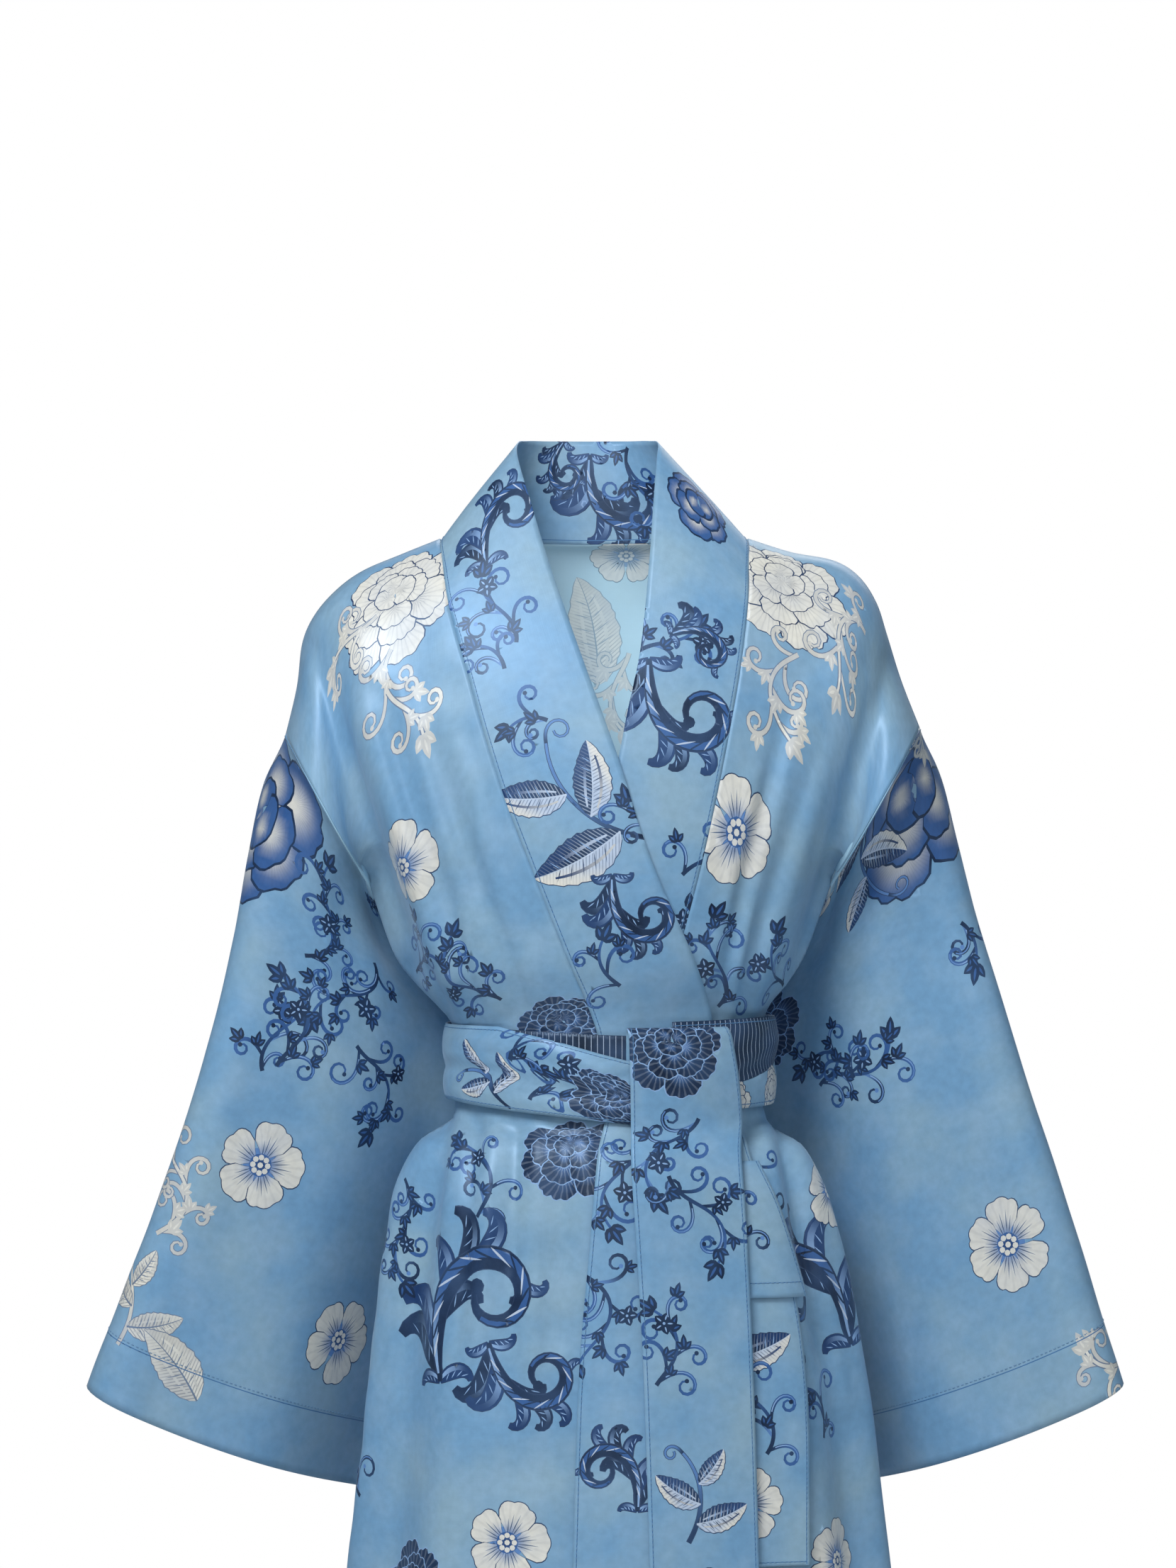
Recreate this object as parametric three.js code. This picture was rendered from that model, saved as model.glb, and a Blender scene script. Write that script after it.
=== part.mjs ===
// A worn kimono robe with wide sleeves, a stand-up collar band and its own tie belt.
// Millimetres. +Z is up, the front faces -Y, and +X is the wearer's left.
// The origin is between the wearer's shoulders, at the height of the shoulder seams by the neck.
import * as THREE from "three";

// Driving dimensions
const WALL = 1.2; // thickness of the cloth walls
const SEAM_GAP = 0.3; // between two pieces that are sewn together
const CHEST_Z = -275; // the underarm point, where the side seams start
const HEM_Z = -1200; // the hem below the shoulder seams
const BAND_WIDTH = 88; // collar band, from its seam to its free edge
const BACK_NECK_SHARE = 0.42; // share of the back's width that the neck takes
const WRAP_OFFSET = 3.4; // how far the upper front lies outside the lower one
const ARMHOLE_HALF = 70; // half the armhole's depth, front to back
const BELT_WIDTH = 82;
const BELT_TOP = -391;
const BELT_OFFSET = 11; // the belt's middle surface outside the body's rings
const TAIL_WIDTH = 83;
const TAIL_BEHIND = 5; // a tail behind the belt, outside the upper front
const TAIL_BEFORE = 14; // a tail over the belt, outside the upper front

// Half-widths and depths of the body at each height. left is the -X side.
const bodyRows = [
  { z: -275, left: 188, right: 190, front: 120, back: 108 },
  { z: -335, left: 167, right: 168, front: 113, back: 101 },
  { z: -360, left: 149, right: 153, front: 104, back: 96 },
  { z: -377, left: 131, right: 139, front: 96.5, back: 91 },
  { z: -392, left: 118, right: 133, front: 93, back: 87.5 },
  { z: -412, left: 115, right: 132, front: 92.5, back: 87 },
  { z: -467, left: 115, right: 132, front: 92.5, back: 87 },
  { z: -479, left: 129, right: 142, front: 94.5, back: 91 },
  { z: -492, left: 148, right: 161, front: 103, back: 102 },
  { z: -525, left: 162, right: 178, front: 113, back: 113 },
  { z: -590, left: 172, right: 195, front: 119, back: 123 },
  { z: -680, left: 181, right: 211, front: 125, back: 131 },
  { z: -800, left: 193, right: 224, front: 132, back: 138 },
  { z: -930, left: 206, right: 236, front: 140, back: 146 },
  { z: -1065, left: 219, right: 247, front: 149, back: 154 },
  { z: -1200, left: 231, right: 257, front: 157, back: 161 },
];

// Shoulder line from the neck point to the sleeve seam, as seen from the front.
const shoulderRows = [
  { along: 0, leftX: 129, leftZ: 0, rightX: 121, rightZ: 0 },
  { along: 0.17, leftX: 160, leftZ: -13, rightX: 155, rightZ: -11 },
  { along: 0.33, leftX: 190, leftZ: -26, rightX: 190, rightZ: -18 },
  { along: 0.47, leftX: 211, leftZ: -41, rightX: 210, rightZ: -31 },
  { along: 0.6, leftX: 229, leftZ: -61, rightX: 224, rightZ: -52 },
  { along: 0.73, leftX: 240, leftZ: -84, rightX: 233, rightZ: -78 },
  { along: 0.87, leftX: 245, leftZ: -120, rightX: 245, rightZ: -115 },
  { along: 1, leftX: 254, leftZ: -158, rightX: 260, rightZ: -153 },
];

// Where each front meets its collar band: x at each height.
const seamRows = [
  { z: 0, left: -129, right: 121 },
  { z: -58, left: -120, right: 119 },
  { z: -111, left: -105, right: 112 },
  { z: -196, left: -80, right: 96 },
  { z: -252, left: -58, right: 84 },
  { z: -307, left: -38, right: 70 },
  { z: -390, left: -4, right: 48 },
  { z: -470, left: 8, right: 38 },
  { z: -590, left: 18, right: 30 },
  { z: -800, left: 30, right: 22 },
  { z: -1200, left: 46, right: 10 },
];

// Collar band round the neck, from the middle of the back to the front of each shoulder:
// how far along the neck seam, and the free edge, its x as a share of half the rim.
const neckRows = [
  { along: 0, edgeX: 0, edgeY: 70, edgeZ: 83 },
  { along: 0.22, edgeX: 0.52, edgeY: 66, edgeZ: 83 },
  { along: 0.51, edgeX: 0.88, edgeY: 44, edgeZ: 82 },
  { along: 0.76, edgeX: 1, edgeY: 20, edgeZ: 79 },
];
// Rows of the band on each front above the chest: seam height and free edge.
const frontBandRows = [
  { seamZ: -4, leftX: -66, leftZ: 66, rightX: 47, rightZ: 66, edgeY: -2 },
  { seamZ: -28, leftX: -56, leftZ: 31, rightX: 44, rightZ: 31, edgeY: -32 },
  { seamZ: -58, leftX: -40, leftZ: -22, rightX: 40, rightZ: -22, edgeY: -62 },
  { seamZ: -108, leftX: -20, leftZ: -80, rightX: 33, rightZ: -90, edgeY: -90 },
  { seamZ: -160, leftX: -1, leftZ: -133, rightX: 22, rightZ: -143, edgeY: -107 },
  { seamZ: -212, leftX: 17, leftZ: -184, rightX: 12, rightZ: -190, edgeY: -116 },
];
const RIM_HALF = 57; // half the width of the collar's top rim
const RIM_X = -9; // its middle
const NECK_DEPTH = 62; // how far back the neck seam goes

// Sleeve sections: the outer and inner end of each, half its thickness,
// and how much thinner it gets towards its inner end.
const rightSleeveRows = [
  { along: 0, outX: -254, outY: 0, outZ: -158, inX: -188, inY: 0, inZ: -275, half: 70, taper: 0 },
  { along: 0.08, outX: -266, outY: 0, outZ: -196, inX: -182, inY: 40, inZ: -300, half: 68, taper: 0.65 },
  { along: 0.2, outX: -281, outY: -3, outZ: -259, inX: -154, inY: 68, inZ: -345, half: 56, taper: 0.78 },
  { along: 0.35, outX: -296, outY: -6, outZ: -331, inX: -105, inY: 100, inZ: -412, half: 46, taper: 0.6 },
  { along: 0.5, outX: -314, outY: -10, outZ: -408, inX: -94, inY: 120, inZ: -484, half: 45, taper: 0.5 },
  { along: 0.7, outX: -343, outY: -14, outZ: -503, inX: -112, inY: 142, inZ: -586, half: 46, taper: 0.4 },
  { along: 0.85, outX: -374, outY: -16, outZ: -590, inX: -134, inY: 156, inZ: -676, half: 48, taper: 0.3 },
  { along: 1, outX: -412, outY: -16, outZ: -692, inX: -160, inY: 170, inZ: -784, half: 52, taper: 0.15 },
];
const leftSleeveRows = [
  { along: 0, outX: 260, outY: 0, outZ: -153, inX: 190, inY: 0, inZ: -275, half: 70, taper: 0 },
  { along: 0.08, outX: 271, outY: 0, outZ: -188, inX: 184, inY: 40, inZ: -299, half: 68, taper: 0.65 },
  { along: 0.2, outX: 287, outY: -3, outZ: -246, inX: 158, inY: 68, inZ: -343, half: 56, taper: 0.78 },
  { along: 0.35, outX: 306, outY: -6, outZ: -313, inX: 121, inY: 100, inZ: -408, half: 46, taper: 0.6 },
  { along: 0.5, outX: 328, outY: -10, outZ: -386, inX: 112, inY: 122, inZ: -478, half: 45, taper: 0.5 },
  { along: 0.7, outX: 357, outY: -14, outZ: -480, inX: 134, inY: 146, inZ: -580, half: 46, taper: 0.4 },
  { along: 0.85, outX: 385, outY: -16, outZ: -571, inX: 158, inY: 162, inZ: -670, half: 48, taper: 0.3 },
  { along: 1, outX: 421, outY: -16, outZ: -690, inX: 184, inY: 176, inZ: -780, half: 52, taper: 0.15 },
];
const UNDERARM_GAP = 2; // how far the sleeve's underside stands off the armhole
const CUFF_DIP = 0.45; // how much lower the front of the cuff hangs, for its thickness

// Soft folds as seen from the front or back: a line, how far each side of it the fold reaches, its height.
const frontFolds = [
  { x0: -226, z0: -70, x1: -143, z1: -345, reach: 17, high: -10 },
  { x0: -204, z0: -60, x1: -118, z1: -350, reach: 18, high: 7 },
  { x0: -188, z0: -150, x1: -98, z1: -372, reach: 20, high: 6 },
  { x0: 226, z0: -90, x1: 152, z1: -350, reach: 18, high: -9 },
  { x0: 205, z0: -70, x1: 130, z1: -352, reach: 19, high: 7 },
  { x0: 172, z0: -110, x1: 104, z1: -365, reach: 17, high: -4 },
];
const backFolds = [
  { x0: -228, z0: -80, x1: -140, z1: -350, reach: 20, high: -8 },
  { x0: -190, z0: -120, x1: -84, z1: -372, reach: 24, high: 6 },
  { x0: 228, z0: -84, x1: 142, z1: -350, reach: 20, high: -8 },
  { x0: 186, z0: -130, x1: 92, z1: -372, reach: 24, high: 6 },
  { x0: -30, z0: -150, x1: -12, z1: -380, reach: 30, high: 5 },
];
// Folds that fall from the belt: ring angle from the front, turn to the hem, reach, height at belt and hem.
const skirtFolds = [
  { angle: -78, turn: -2, reach: 9, belt: 5, hem: 13 },
  { angle: -58, turn: 2, reach: 8, belt: -3, hem: -9 },
  { angle: -40, turn: 8, reach: 9, belt: 5, hem: 10 },
  { angle: -14, turn: 3, reach: 9, belt: -2, hem: -7 },
  { angle: 46, turn: 4, reach: 8, belt: 5, hem: 10 },
  { angle: 62, turn: 3, reach: 7, belt: -4, hem: -9 },
  { angle: 78, turn: 2, reach: 8, belt: 7, hem: 14 },
  { angle: 104, turn: 0, reach: 9, belt: -4, hem: -9 },
  { angle: 124, turn: -2, reach: 10, belt: 5, hem: 12 },
  { angle: 152, turn: 2, reach: 10, belt: -4, hem: -9 },
  { angle: 178, turn: -3, reach: 11, belt: 5, hem: 12 },
  { angle: 206, turn: -2, reach: 10, belt: -4, hem: -10 },
  { angle: 232, turn: 2, reach: 10, belt: 5, hem: 12 },
  { angle: 256, turn: 0, reach: 9, belt: -3, hem: -8 },
];
// Folds along a sleeve: angle round the section from its outer end over the front, reach, heights.
const sleeveFolds = [
  { angle: 42, reach: 16, top: 0, mid: 3, cuff: 6 },
  { angle: 82, reach: 17, top: -2, mid: -5, cuff: -9 },
  { angle: 122, reach: 16, top: 3, mid: 6, cuff: 8 },
  { angle: 205, reach: 18, top: 2, mid: -4, cuff: -7 },
  { angle: 250, reach: 20, top: -2, mid: 5, cuff: 9 },
  { angle: 300, reach: 18, top: 0, mid: -4, cuff: -7 },
];

// Tails of the belt: the middle line's x, the width, and the distance outside the upper front.
const frontTailRows = [
  { z: -389, x: 57, wide: 75, out: 14 },
  { z: -432, x: 60, wide: 77, out: 16 },
  { z: -500, x: 64, wide: 81, out: 14 },
  { z: -560, x: 69, wide: 83, out: 11.6 },
  { z: -667, x: 75, wide: 83, out: 10 },
  { z: -900, x: 82, wide: 83, out: 9.4 },
];
const leftTailRows = [
  { z: -446, x: 30, wide: 44, out: 3 },
  { z: -474, x: 29, wide: 52, out: 3.2 },
  { z: -486, x: 29, wide: 58, out: 5 },
  { z: -500, x: 29, wide: 62, out: 6 },
  { z: -560, x: 31, wide: 76, out: 6 },
  { z: -667, x: 26, wide: 83, out: 6 },
  { z: -850, x: 20, wide: 83, out: 6 },
];
const rightTailRows = [
  { z: -446, x: 84, wide: 40, out: 3 },
  { z: -474, x: 87, wide: 46, out: 3.4 },
  { z: -486, x: 88, wide: 50, out: 4.8 },
  { z: -500, x: 90, wide: 54, out: 4.8 },
  { z: -560, x: 102, wide: 74, out: 4.2 },
  { z: -667, x: 116, wide: 81, out: 4 },
  { z: -820, x: 119, wide: 81, out: 4 },
];
const shortEndRows = [
  { z: -500, x: 104, wide: 32, out: 8 },
  { z: -540, x: 110, wide: 52, out: 7.6 },
  { z: -608, x: 116, wide: 83, out: 7.2 },
];
const TAIL_LEVEL = -425; // above this height the tails stand straight, as the belt does
const FRONT_TAIL_TUCK = 34; // how far the front tail's hidden end reaches down behind the belt

const { PI, sin, cos, asin, exp, hypot, max, min, floor, abs } = Math;
const HALF_TURN = PI / 2;
const radians = (degrees) => (degrees * PI) / 180;
const mix = (a, b, t) => a + (b - a) * t;
const clamp = (t) => min(1, max(0, t));
const ease = (t) => clamp(t) ** 2 * (3 - 2 * clamp(t));
const vec = (x, y, z) => new THREE.Vector3(x, y, z);

// Smooth cubic through one column of a table whose key column runs one way.
function columnAt(rows, key, at, column) {
  const down = rows[rows.length - 1][key] < rows[0][key];
  const low = down ? rows[rows.length - 1][key] : rows[0][key];
  const high = down ? rows[0][key] : rows[rows.length - 1][key];
  const x = min(high, max(low, at));
  let i = 0;
  while (i < rows.length - 2 && (down ? x < rows[i + 1][key] : x > rows[i + 1][key])) i++;
  const slope = (k) => {
    const a = rows[max(0, k - 1)];
    const b = rows[min(rows.length - 1, k + 1)];
    return (b[column] - a[column]) / (b[key] - a[key]);
  };
  const [a, b] = [rows[i], rows[i + 1]];
  const span = b[key] - a[key];
  const t = (x - a[key]) / span;
  const [h, k] = [t * t * (3 - 2 * t), t * t];
  const rise = (k - 2 * t + 1) * t * slope(i) * span;
  const fall = (t - 1) * k * slope(i + 1) * span;
  return mix(a[column], b[column], h) + rise + fall;
}

// Uniform Catmull-Rom through four points.
function through(a, b, c, d, t) {
  const bend = (p, q, r, s) =>
    q + 0.5 * t * (r - p + t * (2 * p - 5 * q + 4 * r - s + t * (3 * (q - r) + s - p)));
  return vec(bend(a.x, b.x, c.x, d.x), bend(a.y, b.y, c.y, d.y), bend(a.z, b.z, c.z, d.z));
}

// A surface through a list of row functions: v runs from 0 at the first row to 1 at the last.
// At the corner row the surface may turn sharply, by a share that depends on u.
function throughRows(rows, corner = { row: -1 }) {
  const last = rows.length - 1;
  const beyond = (near, far) => near.clone().multiplyScalar(2).sub(far);
  return (u, v) => {
    const at = clamp(v) * last;
    const i = min(last - 1, floor(at));
    const [b, c] = [rows[i](u), rows[i + 1](u)];
    let [a, d] = [beyond(b, c), beyond(c, b)];
    if (i > 0) a = rows[i - 1](u).lerp(a, corner.row === i ? corner.share(u) : 0);
    if (i + 2 <= last) d = rows[i + 2](u).lerp(d, corner.row === i + 1 ? corner.share(u) : 0);
    return through(a, b, c, d, at - i);
  };
}

const bodyAt = (z, column) => columnAt(bodyRows, "z", z, column);

// A point of the body's ring: angle 0 is the front, negative towards -X, 180 the back.
function ringPoint(angle, z) {
  const across = sin(angle);
  const wide = across < 0 ? bodyAt(z, "left") : bodyAt(z, "right");
  const deep = cos(angle) > 0 ? bodyAt(z, "front") : bodyAt(z, "back");
  return vec(wide * across, -deep * cos(angle), z);
}

const ringAngle = (x, z) => asin(x / bodyAt(z, x < 0 ? "left" : "right"));

function shoulderPoint(side, along) {
  const name = side < 0 ? "left" : "right";
  const x = side * columnAt(shoulderRows, "along", along, name + "X");
  return vec(x, 0, columnAt(shoulderRows, "along", along, name + "Z"));
}

// A column's point between the shoulder line and the chest, at rise t from 0 to 1.
// Near the sleeve the column turns into the armhole's oval.
function upperPoint(top, chest, side, outer, back, t) {
  const [body, armhole] = [1 - cos(HALF_TURN * t), (1 - cos(PI * t)) / 2];
  const share = outer ** 2;
  const down = mix(body, armhole, share);
  const depth = mix(top.y, chest.y, sin(HALF_TURN * t));
  const arm = (back ? 1 : -1) * ARMHOLE_HALF * sin(PI * t) * share;
  return vec(mix(top.x, chest.x, down), depth + arm, mix(top.z, chest.z, down));
}

const UPPER_STEPS = [0, 0.14, 0.28, 0.42, 0.58, 0.72, 0.86, 1];
const lowerHeights = bodyRows.slice(1).map((row) => row.z);

// A front from its collar seam (u 0) to its armhole and side seam (u 1).
function frontBase(side) {
  const name = side < 0 ? "left" : "right";
  const seamX = (z) => columnAt(seamRows, "z", z, name);
  const onRing = (u, z) => ringPoint(mix(ringAngle(seamX(z), z), side * HALF_TURN, u), z);
  const straightSeam = (z) => mix(seamX(0), seamX(CHEST_Z), z / CHEST_Z);
  const upper = UPPER_STEPS.map((t) => (u) => {
    const p = upperPoint(shoulderPoint(side, u), onRing(u, CHEST_Z), side, u, false, t);
    p.x += (seamX(p.z) - straightSeam(p.z)) * (1 - u) ** 2;
    return p;
  });
  const corner = { row: upper.length - 1, share: (u) => u ** 6 };
  return throughRows([...upper, ...lowerHeights.map((z) => (u) => onRing(u, z))], corner);
}

// The back from its -X side seam (u 0) to its +X one (u 1).
function backBase() {
  const onRing = (u, z) => ringPoint(PI + HALF_TURN * (1 - 2 * u), z);
  const topPoint = (across) => {
    const side = across < 0 ? -1 : 1;
    const out = (abs(across) - BACK_NECK_SHARE) / (1 - BACK_NECK_SHARE);
    if (out > 0) return shoulderPoint(side, out);
    return neckSeam(across / BACK_NECK_SHARE);
  };
  const upper = UPPER_STEPS.map((t) => (u) => {
    const across = 2 * u - 1;
    const side = across < 0 ? -1 : 1;
    const out = clamp((abs(across) - BACK_NECK_SHARE) / (1 - BACK_NECK_SHARE));
    return upperPoint(topPoint(across), onRing(u, CHEST_Z), side, out, true, t);
  });
  const corner = { row: upper.length - 1, share: (u) => abs(2 * u - 1) ** 12 };
  return throughRows([...upper, ...lowerHeights.map((z) => (u) => onRing(u, z))], corner);
}

// The seam round the back of the neck, from -1 at the -X shoulder to 1.
function neckSeam(across) {
  const side = across < 0 ? -1 : 1;
  const end = shoulderPoint(side, 0);
  const turn = abs(across) * HALF_TURN;
  return vec(mix(RIM_X, end.x, sin(turn)), NECK_DEPTH * cos(turn), mix(-2, 0, sin(turn)));
}

// Sum of the folds that lie near a point, seen along Y.
function foldHeight(folds, x, z) {
  return folds.reduce((sum, fold) => {
    const [dx, dz] = [fold.x1 - fold.x0, fold.z1 - fold.z0];
    const t = clamp(((x - fold.x0) * dx + (z - fold.z0) * dz) / (dx * dx + dz * dz));
    const away = hypot(x - fold.x0 - t * dx, z - fold.z0 - t * dz);
    const fade = 0.35 + 0.65 * sin(PI * clamp(0.12 + t * 0.8));
    return sum + fold.high * fade * exp(-((away / fold.reach) ** 2));
  }, 0);
}

function skirtHeight(angle, z) {
  const down = clamp((BELT_TOP - BELT_WIDTH - z) / (BELT_TOP - BELT_WIDTH - HEM_Z));
  const start = ease((BELT_TOP - BELT_WIDTH - 3 - z) / 60);
  if (start === 0) return 0;
  const degrees = (angle * 180) / PI;
  return skirtFolds.reduce((sum, fold) => {
    const away = ((degrees - fold.angle - fold.turn * down + 540) % 360) - 180;
    const high = mix(fold.belt, fold.hem, down ** 0.7);
    return sum + start * high * exp(-((away / fold.reach) ** 2));
  }, 0);
}

// Moves a surface out along its own normal.
function movedOut(base, outward, height) {
  const step = 1e-3;
  return (u, v) => {
    const [u0, u1] = [max(0, u - step), min(1, u + step)];
    const [v0, v1] = [max(0, v - step), min(1, v + step)];
    const across = base(u1, v).sub(base(u0, v));
    const along = base(u, v1).sub(base(u, v0));
    const normal = across.cross(along).normalize().multiplyScalar(outward);
    const p = base(u, v);
    return p.addScaledVector(normal, height(p, u, v));
  };
}

const angleOf = (p) => Math.atan2(p.x / bodyAt(p.z, p.x < 0 ? "left" : "right"), -p.y / 120);

// The upper front lies outside the lower one, and meets the body's rings at its side seam.
const wrapLift = (x, z) =>
  (WRAP_OFFSET + 2.5 * ease((-560 - z) / 400)) * ease((x + 160) / 80) * ease((-100 - z) / 120);

function frontSurface(side) {
  const lift = (p) => (side < 0 ? wrapLift(p.x, p.z) : 0);
  return movedOut(frontBase(side), -side, (p, u, v) => {
    const folds = foldHeight(frontFolds, p.x, p.z) * ease((v - 0.02) / 0.14);
    const skirt = p.z < CHEST_Z ? skirtHeight(angleOf(p), p.z) : 0;
    return lift(p) + folds * ease((1 - u) / 0.2) + skirt * ease((1 - u) / 0.06);
  });
}

function backSurface() {
  return movedOut(backBase(), 1, (p, u, v) => {
    const folds = foldHeight(backFolds, p.x, p.z) * ease((v - 0.02) / 0.14);
    const skirt = p.z < CHEST_Z ? skirtHeight(angleOf(p), p.z) : 0;
    return (folds + skirt) * ease(u / 0.03) * ease((1 - u) / 0.03);
  });
}

// A point on the front of the body at an x and z: layer 0 is the lower front, 1 the upper one.
// out is how far it lies outside that layer.
function onFront(x, z, layer, out = 0) {
  const low = min(z, CHEST_Z);
  const wide = bodyAt(low, x < 0 ? "left" : "right");
  const across = min(0.98, max(-0.98, x / wide));
  const angle = asin(across);
  const deep = bodyAt(low, "front");
  const rise = z > CHEST_Z ? Math.sqrt(max(0, 1 - (1 - z / CHEST_Z) ** 2)) : 1;
  const normal = vec(across / wide, -cos(angle) / deep, 0).normalize();
  const high = skirtHeight(angle, z) + layer * wrapLift(x, z) + out;
  return vec(wide * across, -deep * cos(angle) * rise, z).addScaledVector(normal, high);
}

// The collar band: u runs from the hem on the -X side round the neck to the hem on the +X side,
// v from the seam to the free edge. Rows are listed from the back of the neck down each front.
function bandRows(side) {
  const name = side < 0 ? "left" : "right";
  const layer = side < 0 ? 1 : 0;
  const front = frontSurface(side);
  const seamAt = (z) => {
    let [low, high] = [0, 1];
    for (let i = 0; i < 30; i++) {
      const middle = (low + high) / 2;
      if (front(0, middle).z > z) low = middle;
      else high = middle;
    }
    return front(0, low);
  };
  const rows = neckRows.map((row) => ({
    seam: neckSeam(side * row.along),
    edge: vec(RIM_X + side * RIM_HALF * row.edgeX, row.edgeY, row.edgeZ),
  }));
  for (const row of frontBandRows) {
    const edge = vec(row[name + "X"], row.edgeY, row[name + "Z"]);
    edge.y -= layer * wrapLift(edge.x, edge.z);
    rows.push({ seam: seamAt(row.seamZ), edge });
  }
  for (const row of rows) {
    const bulge = vec(side * 0.5, -0.6, 0.5).multiplyScalar(3);
    row.at = (v) => row.seam.clone().lerp(row.edge, v).addScaledVector(bulge, 4 * v * (1 - v));
  }
  const heights = [-264, -308, -342, -366, -384, -400, -430, -460, -476, -490, -510, -560];
  heights.push(-670, -800, -940, -1070, HEM_Z);
  for (const z of heights) {
    const seamX = (at) => columnAt(seamRows, "z", at, name);
    const slope = (seamX(z + 25) - seamX(z - 25)) / 50;
    const level = clamp((z - HEM_Z) / 120); // at the hem the band is cut level
    const reach = (BAND_WIDTH * 1.03) / hypot(1, slope);
    const step = (share) => {
      const x = seamX(z) - side * reach * share;
      return onFront(x, z + side * reach * share * slope * level, layer, layer * share * 0.8);
    };
    const seam = seamAt(z);
    const start = seam.clone().sub(step(0));
    rows.push({ at: (v) => step(v).addScaledVector(start, (1 - v) ** 2) });
  }
  return rows;
}

function bandSurface() {
  const [left, right] = [bandRows(-1), bandRows(1).slice(1)];
  const rows = [...left.reverse(), ...right].map((row) => row.at);
  const surface = throughRows(rows);
  return { surface: (u, v) => surface(v, u), count: rows.length };
}

function sleeveSurface(rows) {
  const at = (along, name) =>
    vec(...["X", "Y", "Z"].map((axis) => columnAt(rows, "along", along, name + axis)));
  const side = rows[0].outX < 0 ? -1 : 1;
  const slope = at(0, "out").sub(at(0, "in"));
  const away = vec(side * slope.z, 0, -side * slope.x).normalize(); // square to the armhole
  const base = (u, v) => {
    const [out, inner] = [at(v, "out"), at(v, "in")];
    const middle = out.clone().add(inner).multiplyScalar(0.5);
    const half = out.clone().sub(inner).multiplyScalar(0.5);
    const front = vec(-half.y, half.x, 0).normalize();
    if (front.y > 0) front.negate();
    front.z = -CUFF_DIP * v * v;
    const turn = 2 * PI * u;
    const inward = (1 - cos(turn)) / 2;
    const thick = columnAt(rows, "along", v, "half") * (1 - columnAt(rows, "along", v, "taper") * inward);
    middle.addScaledVector(away, UNDERARM_GAP * inward);
    return middle.addScaledVector(half, cos(turn)).addScaledVector(front, thick * sin(turn));
  };
  const height = (p, u, v) => {
    const degrees = 360 * u;
    const start = ease(v / 0.12);
    return sleeveFolds.reduce((sum, fold) => {
      const away = ((degrees - fold.angle + 540) % 360) - 180;
      const high = v < 0.5 ? mix(fold.top, fold.mid, 2 * v) : mix(fold.mid, fold.cuff, 2 * v - 1);
      return sum + start * high * exp(-((away / fold.reach) ** 2));
    }, 0);
  };
  return movedOut(base, side, height);
}

// The belt's ring: u runs once round from the front, v down. It rises a little round the sides.
function beltSurface() {
  return (u, v) => {
    const angle = 2 * PI * u;
    const sides = sin(angle) ** 2;
    const middle = BELT_TOP - BELT_WIDTH / 2;
    const p = ringPoint(angle, middle);
    const roll = 2 * sin(PI * v) + 0.9 * sin(3 * PI * v) * sides;
    const out = vec(p.x / 120 ** 2, p.y / 92 ** 2, 0).normalize();
    p.z = middle + BELT_WIDTH * (0.5 - v) * (1 - 0.2 * sides) + 3 * sides;
    return p.addScaledVector(out, BELT_OFFSET + roll);
  };
}

// A tail that hangs outside the fronts: u across its width, v down its length.
function tailSurface(rows, ripple = 0) {
  const [first, last] = [rows[0].z, rows[rows.length - 1].z];
  return (u, v) => {
    const z = mix(first, last, v);
    const x = columnAt(rows, "z", z, "x") + (u - 0.5) * columnAt(rows, "z", z, "wide");
    const wave = ripple * sin(PI * v) * (1 + sin(2 * PI * u + 3 * v));
    const p = onFront(x, min(z, TAIL_LEVEL), 1, columnAt(rows, "z", z, "out") + wave);
    return vec(p.x, p.y, z);
  };
}

// The front tail comes up behind the belt, folds over its top edge and hangs down the front.
function frontTailSurface() {
  const hanging = tailSurface(frontTailRows, 0.6);
  const [tuck, turn] = [0.06, 0.12];
  const radius = (TAIL_BEFORE - TAIL_BEHIND) / 2;
  return (u, v) => {
    if (v >= turn) return hanging(u, (v - turn) / (1 - turn));
    const row = frontTailRows[0];
    const x = row.x + (u - 0.5) * row.wide;
    const round = clamp((v - tuck) / (turn - tuck)) * PI;
    const down = FRONT_TAIL_TUCK * (1 - min(1, v / tuck));
    const p = onFront(x, TAIL_LEVEL, 1, TAIL_BEHIND + radius * (1 - cos(round)));
    return vec(p.x, p.y, row.z + radius * sin(round) - down);
  };
}

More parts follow.
